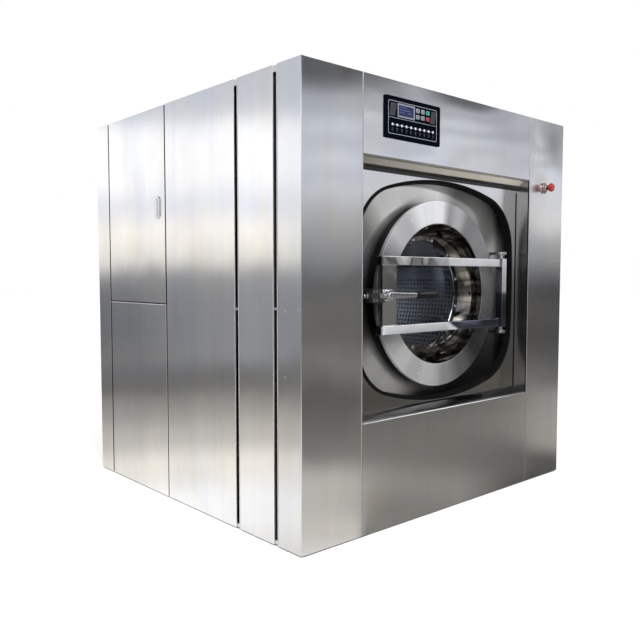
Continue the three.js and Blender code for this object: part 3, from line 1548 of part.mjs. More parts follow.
// Cable gland: hexagon body with a round cap nut
function cableGland() {
  const seat = rearFace + seatGap;
  const inside = rearFace - flangeDepth;
  const end = seat + glandLength;
  const thread = rodY(glandThreadRadius, inside, seat + weld, glandOffset, glandHeight);
  const body = rodY(glandRadius, seat, seat + glandBodyLength, glandOffset, glandHeight, hexagon);
  const cap = rodY(glandRadius * glandCapShare, seat, end, glandOffset, glandHeight);
  const bore = rodY(glandBore, inside - overrun, end + overrun, glandOffset, glandHeight);
  return cut(join(thread, body, cap), bore);
}
piece("cable_gland", cableGland(), blackPlastic());

export default root;
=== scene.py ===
# Studio render of a commercial washing machine: finishes and fine pieces round the fixed CAD frame, in metres.
import json
from math import atan2, cos, degrees, pi, radians, sin, sqrt

import bmesh
import bpy
from mathutils import Matrix, Vector


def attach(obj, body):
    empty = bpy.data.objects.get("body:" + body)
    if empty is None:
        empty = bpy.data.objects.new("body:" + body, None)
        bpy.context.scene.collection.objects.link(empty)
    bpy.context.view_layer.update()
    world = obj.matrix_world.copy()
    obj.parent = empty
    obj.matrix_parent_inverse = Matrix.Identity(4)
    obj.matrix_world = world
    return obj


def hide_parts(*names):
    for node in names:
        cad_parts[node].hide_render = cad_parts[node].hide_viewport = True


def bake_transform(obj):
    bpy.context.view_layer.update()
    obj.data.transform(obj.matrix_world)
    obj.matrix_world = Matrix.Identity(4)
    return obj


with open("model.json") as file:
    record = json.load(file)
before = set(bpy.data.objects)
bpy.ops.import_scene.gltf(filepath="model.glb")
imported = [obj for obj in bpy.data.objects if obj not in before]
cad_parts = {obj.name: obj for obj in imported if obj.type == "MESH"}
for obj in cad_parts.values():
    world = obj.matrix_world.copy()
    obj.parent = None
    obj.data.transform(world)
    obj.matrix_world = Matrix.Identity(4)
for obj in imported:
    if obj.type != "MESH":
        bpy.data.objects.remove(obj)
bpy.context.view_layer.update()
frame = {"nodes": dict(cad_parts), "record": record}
scene = bpy.context.scene
NODE_SLOT = {s["node"]: s["material_slot"] for s in frame["record"]["subparts"]}

# Places shared with the frame, in metres
FRONT = -0.9
HALF_WIDTH = 0.96
BACK = 0.9
RECESS = -0.82
AXIS_Z = 1.028
RING_FRONT = -0.81
RING_BACK = -0.79
GLASS_FRONT = -0.694
GAP = 0.0003

SOFTENED = radians(40)  # edges sharper than this are bevelled
SMOOTH = radians(32)  # and edges flatter than this are shaded smooth


# ---------- shader graphs
class Graph:
    """A small wrapper round a material's or world's node tree, so that a finish reads as a list of steps."""

    def __init__(self, owner):
        self.owner = owner
        self.tree = owner.node_tree
        self.shader = self.tree.nodes.get("Principled BSDF")

    def feed(self, node, inputs):
        """Sets a node's inputs, each to a value or to another node's output."""
        for key, value in inputs.items():
            if isinstance(value, bpy.types.NodeSocket):
                self.tree.links.new(value, node.inputs[key])
            else:
                node.inputs[key].default_value = value
        return node

    def node(self, kind, inputs, out=None, **settings):
        """A new shader node, or the named one of its outputs."""
        node = self.tree.nodes.new("ShaderNode" + kind)
        for key, value in settings.items():
            setattr(node, key, value)
        self.feed(node, inputs)
        return node.outputs[out] if out else node

    def dress(self, inputs):
        """Feeds the principled shader, and gives its material."""
        self.feed(self.shader, inputs)
        return self.owner

    def fed(self, key):
        """What feeds the principled shader now."""
        return self.shader.inputs[key].links[0].from_socket

    def place(self):
        return self.node("TexCoord", {}, "Object")

    def split(self, vector=None):
        """The x, y and z of a vector, or of the place being shaded."""
        parts = self.node("SeparateXYZ", {"Vector": vector or self.place()})
        return [parts.outputs[axis] for axis in "XYZ"]

    def facing(self):
        """The x, y and z of the way that the surface faces."""
        return self.split(self.node("NewGeometry", {}, "Normal"))

    def tangent(self, axis):
        return self.node("Tangent", {}, "Tangent", direction_type="RADIAL", axis=axis)

    def noise(self, scale, detail, rough, stretch=(1, 1, 1), distortion=0, vector=None):
        vector = vector or self.node("Mapping", {"Vector": self.place(), "Scale": stretch}, "Vector")
        return self.node("TexNoise", {"Vector": vector, "Scale": scale, "Detail": detail, "Roughness": rough,
            "Distortion": distortion}, "Fac")

    def vector_math(self, operation, *values, out="Vector"):
        return self.node("VectorMath", dict(enumerate(values)), out, operation=operation)

    def away(self, centre, flatten):
        """The way from a centre to the place being shaded, flattened."""
        return self.vector_math("MULTIPLY", self.vector_math("SUBTRACT", self.place(), centre), flatten)

    def span(self, value, low, high, from_low=0.3, from_high=0.7, **settings):
        """A value mapped from one range to another."""
        return self.node("MapRange", {"Value": value, "From Min": from_low, "From Max": from_high, "To Min": low,
            "To Max": high}, "Result", **settings)

    def rise(self, value, start, end):
        return self.span(value, 0, 1, start, end)

    def fall(self, value, start, end):
        return self.span(value, 1, 0, start, end)

    def dent(self, centre, radius, flatten):
        """1 at a centre, falling smoothly to 0 at a radius."""
        far = self.vector_math("LENGTH", self.away(centre, flatten), out="Value")
        return self.span(far, 0, 1, radius, 0, interpolation_type="SMOOTHERSTEP")

    def math(self, operation, a, b=0):
        return self.node("Math", {0: a, 1: b}, "Value", operation=operation)

    def plus(self, a, b):
        return self.math("ADD", a, b)

    def minus(self, a, b):
        return self.math("SUBTRACT", a, b)

    def times(self, value, *factors):
        for factor in factors:
            value = self.math("MULTIPLY", value, factor)
        return value

    def distance(self, u, v):
        return self.math("SQRT", self.plus(self.times(u, u), self.times(v, v)))

    def mix(self, factor, a, b, blend="MIX"):
        a, b = ((*tone, 1) if isinstance(tone, tuple) else tone for tone in (a, b))
        return self.node("Mix", {"Factor": factor, "A": a, "B": b}, "Result", data_type="RGBA", blend_type=blend)

    def shade(self, amount, tone, dark):
        """A tone multiplied by another one, by an amount."""
        return self.mix(amount, tone, dark, "MULTIPLY")

    def ramp(self, value, stops):
        """Tones set at places from 0 to 1, eased from one to the next."""
        node = self.node("ValToRGB", {"Fac": value})
        elements = node.color_ramp.elements
        node.color_ramp.interpolation = "EASE"
        while len(elements) < len(stops):
            elements.new(0.5)
        for element, (at, tone) in zip(elements, stops):
            element.position, element.color = at, (*tone, 1)
        return node.outputs["Color"]

    def bump(self, height, strength, distance, below=None):
        inputs = {"Height": height, "Strength": strength, "Distance": distance}
        return self.node("Bump", {**inputs, "Normal": below} if below else inputs, "Normal")


def surface(name):
    """A new material, as a graph round its principled shader."""
    material = bpy.data.materials.new(name)
    material.use_nodes = True
    return Graph(material)


def dimmed(tint, share):
    return tuple(v * share for v in tint)


# ---------- finishes
def brushed(name, tint=(0.7, 0.7, 0.695), rough=0.2, aniso=0.86, ripple=0.004, waves=(1.4, 1.4, 0.9), swirl=0.4,
        seed=0, grain=(520, 520, 7), dents=(), painted_shade=None, hands=0.07):
    """Grained stainless sheet: fine lines that spread reflections sideways, hand marks and a slight waviness, with
    painted shade where a mask is given.
    """
    g = surface(name)
    lines = g.noise(1, 4, 0.7, grain)
    marks = g.noise(2.3 + seed, 4, 0.6, (1, 1, 0.55))
    cloud = g.noise(1 + seed, 1.5, 0.45, waves, swirl)
    streak = g.noise(1, 2, 0.5, dimmed(grain, 0.045))
    smears = g.noise(3.1 + seed, 3, 0.6, (1.5, 1.5, 0.5), 0.8)
    warm, cool = (tuple(v * t for v, t in zip(tint, shift)) for shift in ((1, 0.975, 0.94), (0.94, 0.965, 1.02)))
    tone = g.mix(g.span(smears, 0, 1), warm, cool)
    tone = g.shade(g.span(marks, 0, 1), tone, (1 - hands,) * 3)
    tone = g.mix(g.span(streak, 0, 0.22), tone, tuple(min(1, v * 1.06) for v in tint))
    # painted shade: the tone is darkened where the mask falls, in the slots, seams and jambs behind the outer faces
    if painted_shade:
        tone = g.shade(painted_shade(g), tone, (0.13, 0.12, 0.105))
    normal = g.bump(cloud, 1, ripple)
    for centre, radius, flatten, depth in dents:
        normal = g.bump(g.dent(centre, radius, flatten), 1, depth, normal)
    wear = g.plus(g.span(marks, -0.025, 0.03), g.span(lines, rough - 0.012, rough + 0.012))
    return g.dress({"Base Color": tone, "Metallic": 1, "Roughness": wear, "Anisotropic": aniso,
        "Tangent": g.tangent("Z"), "Normal": g.bump(lines, 0.02, 0.0003, normal)})


def behind_side(g):
    """1 on what lies behind the outer face of the sides: the slots' walls and floors and the folds in the seams,
    where the sheets get a painted shade.
    """
    x, y = g.split()[:2]
    return g.times(g.fall(g.math("ABSOLUTE", x), HALF_WIDTH - 0.0035, HALF_WIDTH - 0.001),
        g.fall(y, BACK - 0.0035, BACK - 0.001))


def behind_corner(g):
    """Near 0.5 on what lies behind both outer faces of a corner pillar: the jambs of the recess and the folds, where
    the pillars get a painted shade.
    """
    return g.times(g.rise(g.split()[1], FRONT + 0.003, FRONT + 0.012), behind_side(g), 0.45)


def bright(g, tone, rough, marks, fine, scratch, ripple, waves, metallic, inputs):
    """A near-mirror with fine scratches, marks that dull it and a ripple."""
    normal = g.bump(fine, scratch, 0.0003)
    if ripple:
        normal = g.bump(g.noise(waves, 2, 0.5), 1, ripple, normal)
    wear = g.plus(g.span(marks, -0.02, 0.03), g.span(fine, rough - 0.02, rough + 0.02))
    return g.dress({"Base Color": tone, "Metallic": metallic, "Roughness": wear, "Normal": normal, **inputs})


def polished(name, tint, rough, ripple=0, scratch=0.05, metallic=1):
    """Bright stainless with fine wipe marks."""
    g = surface(name)
    marks = g.noise(9, 4, 0.6)
    tone = g.mix(g.span(marks, 0, 0.6), tint, dimmed(tint, 0.9))
    return bright(g, tone, rough, marks, g.noise(160, 3, 0.6), scratch, ripple, 5, metallic, {})


def turned_steel(name, tint, rough, aniso, fans, dull, ripple=0, painted_light_by_turn=(), painted_ring_shadow=False, metallic=1):
    """Stainless turned on the drum's axis: fine grooves round it, and painted highlight fans across them, brighter
    and duller by a noise on the direction round the axis.
    The steps by the turn give a painted highlight and shade: the brightness of the polish by the turn from the right,
    in steps from -180 to 180 degrees."""
    g = surface(name)
    x, _, z = g.split()
    up = g.minus(z, AXIS_Z)
    out = g.distance(x, up)
    grooves = g.node("TexNoise", {"W": out, "Scale": 420, "Detail": 3}, "Fac", noise_dimensions="1D")
    heading = g.vector_math("NORMALIZE", g.away((0, 0, AXIS_Z), (1, 0, 1)))
    marks = g.noise(9, 4, 0.6)
    # painted highlight fans: the tone runs from dimmed to full by a noise on the direction round the axis
    tone = g.mix(g.rise(g.noise(fans, 2.5, 0.55, vector=heading), 0.38, 0.62), dimmed(tint, dull), tint)
    # painted highlight and shade: a ramp over the turn round the axis scales the tone
    if painted_light_by_turn:
        turn = g.rise(g.math("ARCTAN2", up, x), -pi, pi)
        tone = g.shade(1, tone, g.ramp(turn, [((at + 180) / 360, (grey,) * 3) for at, grey in painted_light_by_turn]))
    # painted shadow of the door ring on the plate beside its left edge, and painted shade near the trim on the right
    if painted_ring_shadow:
        ring_shadow_mask = g.times(g.fall(out, 0.436, 0.478), g.fall(x, -0.16, -0.04))
        tone = g.shade(g.math("MAXIMUM", ring_shadow_mask, g.span(x, 0, 0.75, 0.53, 0.575)), tone, (0.12, 0.12, 0.125))
    tone = g.shade(g.span(marks, 0, 0.6), tone, (0.86, 0.86, 0.85))
    return bright(g, tone, rough, marks, grooves, 0.02, ripple, 4, metallic,
        {"Anisotropic": aniso, "Anisotropic Rotation": 0.25, "Tangent": g.tangent("Y")})


def bar_chrome(name, tint, rough):
    """Bright chrome on hand-ground bars: their faces lean a little up or down along their length. A painted dark,
    bluish reflection lies on the right part of the lower bar, and painted shade on the faces that face left.
    """
    g = Graph(polished(name, tint, rough, 0.0012))
    x, _, z = g.split()
    wander = g.times(g.span(g.noise(7, 1, 0.5, (1, 1, 0.2)), -0.14, 0.14), g.span(x, 1, 0.1, -0.1, 0.1))
    upper = g.plus(g.span(x, 0, 0.1, 0, 0.12), wander)
    along = g.plus(x, g.times(z, 2))
    share = g.rise(z, AXIS_Z - 0.01, AXIS_Z + 0.01)
    rest = g.minus(1, share)
    lean = g.plus(g.times(upper, share), g.times(g.span(along, 0.19, 0.06, 1.78, 1.83), rest))
    # painted dark, bluish reflection on the right part of the lower bar
    tone = g.shade(g.times(g.rise(along, 1.78, 1.83), rest), g.fed("Base Color"), (0.3, 0.32, 0.4))
    # painted shade on the faces that face left
    tone = g.shade(g.rise(g.facing()[0], -0.4, -0.8), tone, (0.16, 0.16, 0.18))
    tilted = g.vector_math("ADD", g.fed("Normal"), g.node("CombineXYZ", {"Z": lean}, "Vector"))
    return g.dress({"Base Color": tone, "Normal": g.vector_math("NORMALIZE", tilted)})


def sloped_steel(name, tint, shade, rough):
    """The recess: grained steel whose down-facing slope is a dull, warm surface lit from the floor, its warm colour a
    painted reflection of the floor. Painted shade darkens the recess towards the bottom, its up-facing slopes, the
    left of the down-facing slope and the down-facing faces below the soffit.
    """
    g = Graph(brushed(name, tint, rough, aniso=0.6, ripple=0.003, seed=1.1))
    x, _, z = g.split()
    upward = g.facing()[2]
    under = g.fall(upward, -0.75, -0.6)
    # painted shade: darker towards the bottom of the recess, and on up-facing slopes
    tone = g.shade(g.fall(z, 0.62, 1.15), g.fed("Base Color"), (0.5, 0.49, 0.47))
    tone = g.shade(g.rise(upward, 0.6, 0.75), tone, (0.4, 0.4, 0.42))
    # painted reflection of the floor: down-facing slopes take a warm, less metallic colour, darker to the left as
    # painted shade
    below = g.mix(g.rise(x, -0.62, 0.45), dimmed(shade, 0.42), shade)
    # painted shade: down-facing faces below the soffit are near black
    below = g.mix(g.fall(z, 1.5945, 1.5975), below, (0.03, 0.029, 0.028))
    return g.dress({"Base Color": g.mix(under, tone, below), "Metallic": g.minus(1, g.times(under, 0.75))})


def coated(name, tint, rough=0.4, grain=900, depth=0.00008, dust=None, gloss=0.5):
    """Paint, plastic or rubber: a fine texture, uneven gloss and a little dust."""
    g = surface(name)
    patch = g.noise(6, 4, 0.6)
    dust = dust or tuple(min(1, v * 1.35 + 0.004) for v in tint)
    return g.dress({"Base Color": g.mix(g.span(patch, 0, 0.55), tint, dust), "Specular IOR Level": gloss,
        "Roughness": g.span(patch, rough - 0.06, rough + 0.06),
        "Normal": g.bump(g.noise(grain, 2, 0.5), 0.35, depth)})


def clear_glass(name):
    g = surface(name)
    return g.dress({"Base Color": (0.68, 0.76, 0.9, 1), "Transmission Weight": 1, "IOR": 1.46,
        "Roughness": g.span(g.noise(4, 3, 0.6), 0, 0.035)})


PANEL_DENTS = (((0.1, FRONT, 1.83), 0.5, (1, 0, 2.2), 0.006),)
PILLAR_DENTS = (((0.79, FRONT, 1.74), 0.26, (1.3, 0, 1), 0.008),)
# Painted highlight and shade of the door ring and of the tub front plate: scales of the tone by the turn from the
# right, in degrees
RING_PAINTED_LIGHT = ((-180, 0.14), (-158, 0.45), (-130, 0.85), (-98, 0.85), (-84, 0.5), (-66, 0.18), (-45, 0.04), (-5, 0.24),
    (30, 0.4), (58, 0.3), (70, 0.6), (80, 0.4), (90, 1.2), (112, 1.1), (128, 0.6), (140, 0.7), (162, 0.16),
    (180, 0.14))
TUB_PAINTED_LIGHT = ((-180, 0.1), (-160, 0.12), (-140, 0.75), (-118, 0.7), (-96, 0.1), (-45, 0.04), (-8, 0.2), (12, 0.5),
    (22, 1.1), (33, 0.4), (50, 0.55), (66, 0.5), (84, 1.7), (110, 1.2), (128, 0.95), (150, 0.3), (180, 0.1))

FRONT_STEEL = brushed("front_steel", (0.7, 0.7, 0.7), ripple=0.012, waves=(0.8, 0.8, 2.1), swirl=0.5, seed=0.3,
    dents=PANEL_DENTS)
LOWER_STEEL = brushed("lower_steel", (0.66, 0.66, 0.655), ripple=0.006, waves=(1.1, 1.1, 0.8), seed=0.5)
PILLAR_STEEL = brushed("pillar_steel", ripple=0.01, waves=(2.2, 2.2, 0.9), swirl=0.6, seed=0.1, painted_shade=behind_corner)
RIGHT_PILLAR = brushed("right_pillar_steel", ripple=0.003, waves=(1.4, 1.4, 1.2), swirl=0.9, seed=0.2,
    dents=PILLAR_DENTS, painted_shade=behind_corner)
SIDE_STEEL = brushed("side_steel", (0.79, 0.79, 0.79), ripple=0.006, waves=(1.3, 1.3, 0.8), seed=0.7,
    painted_shade=behind_side, hands=0.14)
# its warm second colour is the painted reflection of the floor on the recess's down-facing slope
SURROUND_STEEL = sloped_steel("surround_steel", (0.72, 0.715, 0.7), (0.74, 0.7, 0.61), 0.17)
# Near-black steel for the strip under the soffit: painted shade
SOFFIT_SHADE_STEEL = brushed("soffit_shade_strip_steel", (0.06, 0.06, 0.062), 0.35, 0.5)
LID_STEEL = brushed("lid_steel", rough=0.3, aniso=0.5, ripple=0.003, seed=0.9, grain=(7, 520, 520))
REAR_STEEL = brushed("rear_steel", (0.66, 0.66, 0.66), 0.3, 0.7, 0.005, seed=1.7)
CHROME = polished("bright_chrome", (0.74, 0.74, 0.75), 0.06)
YOKE_CHROME = bar_chrome("yoke_chrome", (0.88, 0.89, 0.91), 0.045)
PLATE_STEEL = polished("yoke_plate_steel", (0.66, 0.66, 0.67), 0.1, 0.005)
EDGE_STEEL = polished("ground_edge", (0.92, 0.92, 0.92), 0.5, scratch=0.2)
# The turned finishes carry painted highlight fans; the ring and the tub plate also a painted highlight and shade by
# the turn, and the tub plate a painted shadow of the ring
RING_STEEL = turned_steel("turned_ring", (0.96, 0.96, 0.98), 0.24, 0.88, 2.6, 0.8, painted_light_by_turn=RING_PAINTED_LIGHT, metallic=0.7)
BOWL_STEEL = turned_steel("polished_bowl", (0.33, 0.31, 0.285), 0.07, 0.4, 6, 0.2, 0.0018)
TUB_STEEL = turned_steel("tub_front_steel", (0.72, 0.715, 0.7), 0.13, 0.5, 1.6, 0.8, 0.002, TUB_PAINTED_LIGHT, True, 0.5)
DRUM_STEEL = polished("drum_steel", (0.78, 0.79, 0.8), 0.22, 0.0004, metallic=0.8)
STEEL = polished("fixing_steel", (0.62, 0.62, 0.62), 0.22)
RUBBER = coated("black_edging_rubber", (0.003, 0.003, 0.0031), 0.6, 500, 0.0003, gloss=0.06)
GASKET = coated("door_seal_rubber", (0.02, 0.02, 0.021), 0.6, 420, 0.0004)
BELT_RUBBER = coated("belt_rubber", (0.018, 0.018, 0.018), 0.7, 900, 0.0003, (0.05, 0.048, 0.045))
FRAME_PAINT = coated("frame_paint", (0.1, 0.115, 0.13), 0.45, 260, 0.0003, (0.16, 0.16, 0.16))
MOTOR_PAINT = coated("motor_enamel", (0.045, 0.11, 0.21), 0.4, 200, 0.0003)
SPRING_PAINT = coated("spring_coating", (0.02, 0.021, 0.024), 0.42, 300, 0.0002)
BLACK_PLASTIC = coated("black_plastic", (0.014, 0.014, 0.016), 0.34, 900, 0.0001)
PANEL_FILM = coated("panel_film", (0.0016, 0.0026, 0.0055), 0.45, 1400, 0.00004, (0.0026, 0.0038, 0.007), 0)
GRIP_PLASTIC = coated("grip_plastic", (0.004, 0.004, 0.0045), 0.3, 700, 0.0001, gloss=0.2)
RED_PLASTIC = coated("stop_red", (0.27, 0.013, 0.012), 0.3, 600)
COLLAR_RED = coated("stop_ring_red", (0.17, 0.05, 0.045), grain=600)
KEY_WHITE = coated("key_white", (0.15, 0.16, 0.19), 0.45)
DOT_WHITE = coated("indicator_white", (0.5, 0.53, 0.58), depth=0.00004)
KEY_GREEN = coated("key_green", (0.012, 0.2, 0.12))
KEY_RED = coated("key_red", (0.22, 0.011, 0.014))
PRINT_GREY = coated("printed_grey", (0.33, 0.34, 0.38), 0.45, 900, 0.00004)
PRINT_FAINT = coated("printed_faint", (0.05, 0.052, 0.06), 0.45, 900, 0.00004, gloss=0.2)
SCREEN_MARK = coated("screen_mark", (0.03, 0.045, 0.13), 0.3, 900, 0.00002)
SCREEN = coated("screen_blue", (0.012, 0.016, 0.055), 0.15, 1200, 0.00002, (0.014, 0.018, 0.06), 0.3)
SCREEN_FRAME = coated("screen_frame_grey", (0.15, 0.17, 0.22), depth=0.00006)
KEY_CYLINDER = polished("key_cylinder", (0.5, 0.55, 0.68), 0.2)
# Near-black steel for the tub front's bolt heads and the keys' printed marks, and the painted shade of the service
# lock's keyhole
DARK_METAL = coated("dark_steel_print_and_keyhole_shade", (0.05, 0.05, 0.052), 0.4, 500, 0.0002)
GLASS = clear_glass("door_window_glass")

SLOT_FINISH = {"brushed_stainless": FRONT_STEEL, "polished_stainless": CHROME, "painted_steel": FRAME_PAINT,
    "motor_paint": MOTOR_PAINT, "spring_steel": SPRING_PAINT, "black_rubber": RUBBER, "black_plastic": BLACK_PLASTIC,
    "glass": GLASS, "red_plastic": RED_PLASTIC, "key_white": KEY_WHITE, "key_green": KEY_GREEN, "key_red": KEY_RED}
NODE_FINISH = {node: finish for finish, names in ((PILLAR_STEEL, "front_pillar_left"),
    (RIGHT_PILLAR, "front_pillar_right"), (LOWER_STEEL, "front_lower_panel"),
    (SIDE_STEEL, "rear_pillar_left rear_pillar_right side_panel_left_front side_panel_left_middle"),
    (SIDE_STEEL, "side_panel_left_lower side_panel_right_front side_panel_right service_door"),
    (SURROUND_STEEL, "door_surround"), (LID_STEEL, "lid"), (REAR_STEEL, "rear_panel"), (BELT_RUBBER, "drive_belt"),
    (STEEL, "supply_inlets drain_outlet service_lock"), (TUB_STEEL, "tub_shell"), (DRUM_STEEL, "drum_back"),
    (PANEL_FILM, "control_plate")) for node in names.split()}
for name, obj in frame["nodes"].items():
    obj.data.materials.clear()
    obj.data.materials.append(NODE_FINISH.get(name, SLOT_FINISH[NODE_SLOT[name]]))


# ---------- outlines
def arc(centre, radius, start, end, steps):
    """Points along an arc, from one angle in degrees to another."""
    turns = [radians(start + (end - start) * k / steps) for k in range(steps + 1)]
    return [(centre[0] + radius * cos(a), centre[1] + radius * sin(a)) for a in turns]


def spots(count, radius, at=(0, AXIS_Z), shift=0.5):
    """Places spread evenly round a circle, starting a share of a step on."""
    first = 360 * shift / count
    return arc(at, radius, first, first + 360, count)[:count]


def rectangle(u0, u1, v0, v1):
    return [(u0, v0), (u1, v0), (u1, v1), (u0, v1)]


def round_outline(u0, u1, v0, v1, radius, steps=6):
    centres = [(u1 - radius, v1 - radius), (u0 + radius, v1 - radius), (u0 + radius, v0 + radius),
        (u1 - radius, v0 + radius)]
    return [p for i, at in enumerate(centres) for p in arc(at, radius, 90 * i, 90 * i + 90, steps)]


def shifted(profile, along):
    """A profile of (radius, place along the axis), moved along the axis."""
    return [(radius, along + place) for radius, place in profile]


def bend(start, corner, end, steps):
    """Points along a curve from start to end, drawn towards a corner."""
    start, corner, end = Vector(start), Vector(corner), Vector(end)
    shares = [k / steps for k in range(steps + 1)]
    return [tuple(start * (1 - t) ** 2 + corner * 2 * t * (1 - t) + end * t ** 2) for t in shares]


def rounded(profile, radius, steps=3):
    """Softens the corners of a closed profile."""
    out = []
    for i, corner in enumerate(profile):
        here, before, after = Vector(corner), Vector(profile[i - 1]), Vector(profile[(i + 1) % len(profile)])
        into, out_of = before - here, after - here
        reach = min(radius, into.length * 0.45, out_of.length * 0.45)
        if corner[0] < 1e-6 or reach < 1e-6 or into.angle(out_of, 0) > radians(165):
            out.append(tuple(corner))
        else:
            out += bend(here + into.normalized() * reach, here, here + out_of.normalized() * reach, steps)
    return out


# ---------- solids
def vert_on(bm, axis, u, v, w):
    """A point at w along an axis; u and v are (y, z) on X, (x, z) on Y and (x, y) on Z."""
    return bm.verts.new({"X": (w, u, v), "Y": (u, w, v), "Z": (u, v, w)}[axis])


def stitch(bm, rings, loop=True):
    """Faces between each ring of points and the next, and back to the first."""
    for one, two in list(zip(rings, rings[1:])) + ([(rings[-1], rings[0])] if loop else []):
        for i in range(len(one)):
            j = (i + 1) % len(one)
            corners = list(dict.fromkeys((one[i], one[j], two[j], two[i])))
            if len(corners) > 2:
                bm.faces.new(corners)
    bmesh.ops.recalc_face_normals(bm, faces=bm.faces)
    return bm


def poly_solid(points, low, high, axis="Y", edge=0, steps=2):
    """A flat outline extruded between two places on an axis, with softened edges."""
    bm = bmesh.new()
    ends = [[vert_on(bm, axis, u, v, w) for u, v in points] for w in (low, high)]
    for end in ends:
        bm.faces.new(end)
    stitch(bm, ends, False)
    if edge:
        sharp = [e for e in bm.edges if len(e.link_faces) == 2 and e.calc_face_angle(0) > SOFTENED]
        bmesh.ops.bevel(bm, geom=sharp, offset=edge, segments=steps, profile=0.5, affect="EDGES", clamp_overlap=True)
    return bm


def box_solid(x0, x1, y0, y1, z0, z1, edge=0):
    (x0, x1), (y0, y1) = sorted((x0, x1)), sorted((y0, y1))
    return poly_solid(rectangle(x0, x1, y0, y1), z0, z1, "Z", edge)


def frame_solid(outer, inner, low, high):
    """A flat frame between two outlines of as many points."""
    bm = bmesh.new()
    return stitch(bm, [[vert_on(bm, "Y", u, v, w) for u, v in line] for line,
        w in ((outer, low), (inner, low), (inner, high), (outer, high))])


def turn_solid(profile, segments=128, at=(0, AXIS_Z), axis="Y", lobe=0):
    """A profile of (radius, place along the axis) turned round it; at is the axis' place in the other two.
    With a lobe share, the rim swells and shrinks eight times round."""
    bm = bmesh.new()
    rings = []
    for radius, along in profile:
        if radius < 1e-6:
            rings.append([vert_on(bm, axis, *at, along)] * segments)
            continue
        ring = []
        for i in range(segments):
            a = 2 * pi * i / segments
            r = radius * (1 + lobe * (cos(8 * a) - 1))
            ring.append(vert_on(bm, axis, at[0] + r * cos(a), at[1] + r * sin(a), along))
        rings.append(ring)
    return stitch(bm, rings, profile[0][0] > 1e-6)


def rod_solid(radius, low, high, at, segments=32, edge=0.0008, axis="Y", steps=3):
    return turn_solid(rounded(rectangle(0, radius, low, high), edge, steps), segments, at, axis)


def sweep_solid(path, radius, sides):
    """A round rod along a path."""
    bm = bmesh.new()
    rings = []
    up = None
    for before, point, after in zip(path[:1] + path, path, path[1:] + path[-1:]):
        along = (after - before).normalized()
        up = (up - along * up.dot(along)).normalized() if up else along.orthogonal().normalized()
        side = along.cross(up)
        rings.append([bm.verts.new(point + (up * cos(a) + side * sin(a)) * radius)
            for a in (2 * pi * k / sides for k in range(sides))])
    bm.faces.new(rings[0])
    bm.faces.new(rings[-1])
    return stitch(bm, rings, False)


def hex_head(at, low, high, radius):
    """A hexagon bolt head."""
    return poly_solid(spots(6, radius, at, 0), low, high, "Y", radius * 0.12)


def dome_head(at, base, way=1, radius=0.006, rise=0.003, axis="Y"):
    """A low round screw or rivet head standing on a face."""
    profile = [(0, base - way * 0.001), (radius, base - way * 0.001), (radius, base + way * rise * 0.25),
        (radius * 0.86, base + way * rise * 0.7), (radius * 0.5, base + way * rise * 0.96), (0, base + way * rise)]
    return turn_solid(profile, 24, at, axis)


# ---------- pieces
def add_object(name, data):
    obj = bpy.data.objects.new(name, data)
    scene.collection.objects.link(obj)
    return obj


def piece(name, body, solids, node=None):
    """One object from lists of solids by material, riding on a body of the frame, or on none yet."""
    mesh = bpy.data.meshes.new(name)
    whole = bmesh.new()
    for index, (material, parts) in enumerate(solids.items()):
        mesh.materials.append(material)
        for bm in parts:
            for f in bm.faces:
                f.material_index, f.smooth = index, True
            part = bpy.data.meshes.new("part")
            bm.to_mesh(part)
            bm.free()
            whole.from_mesh(part)
            bpy.data.meshes.remove(part)
    for e in whole.edges:
        e.smooth = len(e.link_faces) == 2 and e.calc_face_angle(0) < SMOOTH
    whole.to_mesh(mesh)
    whole.free()
    obj = add_object(name, mesh)
    obj.modifiers.new("weighted", "WEIGHTED_NORMAL").keep_sharp = True
    if body:
        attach(obj, body)
    if node:
        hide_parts(node)
    return obj


def fine(node, body, solids):
    """A finer piece in place of a node of the frame, which it hides."""
    return piece("fine_" + node, body, solids, node)


# ---------- door
BAR_Z = (AXIS_Z + 0.155, AXIS_Z - 0.155)


def build_door():
    ring_in, ring_out, foot, glass_edge, sight = 0.339, 0.448, 0.288, 0.284, 0.262
    ring = rounded(rectangle(ring_in, ring_out, RING_FRONT, RING_BACK), 0.0035, 4)
    fine("door_ring", "door", {RING_STEEL: [turn_solid(ring, 160)]})

    wall = 0.003
    front = RING_FRONT + 0.002
    elbow = front + 0.018
    rim = ring_in - GAP
    outside = bend((rim, elbow), (rim - 0.008, (elbow + GLASS_FRONT) / 2 + 0.008), (foot, GLASS_FRONT - wall), 12)
    inside = [(r - wall, y) for r, y in reversed(outside)]
    profile = [(rim, front), *outside, (foot, GLASS_FRONT), (sight, GLASS_FRONT), (sight, GLASS_FRONT - wall),
        *inside, (rim - wall, front)]
    dome = shifted([(0, -0.0084), (0.0042, -0.0078), (0.007, -0.0058), (0.0076, -0.0034), (0.0076, -0.0015),
        (0, -0.0015)], GLASS_FRONT)
    fine("door_bowl", "door", {BOWL_STEEL: [turn_solid(profile, 160)],
        EDGE_STEEL: [turn_solid(dome, 20, at) for at in spots(12, 0.2735)]})

    seat = GLASS_FRONT + GAP
    back = seat + 0.012
    pane = [(0, seat + 0.003), (0.258, seat + 0.003), (0.2602, seat + 0.0022), (sight, seat), (glass_edge, seat),
        (glass_edge, back), (0, back)]
    fine("door_glass", "door", {GLASS: [turn_solid(pane, 160)]})

    inner = glass_edge + GAP
    lip = back + GAP
    clamp = [(inner, seat), (inner + 0.005, seat), (inner + 0.005, lip + 0.004), (sight, lip + 0.004), (sight, lip),
        (inner, lip)]
    fine("glass_clamp", "door", {STEEL: [turn_solid(rounded(clamp, 0.0008))]})


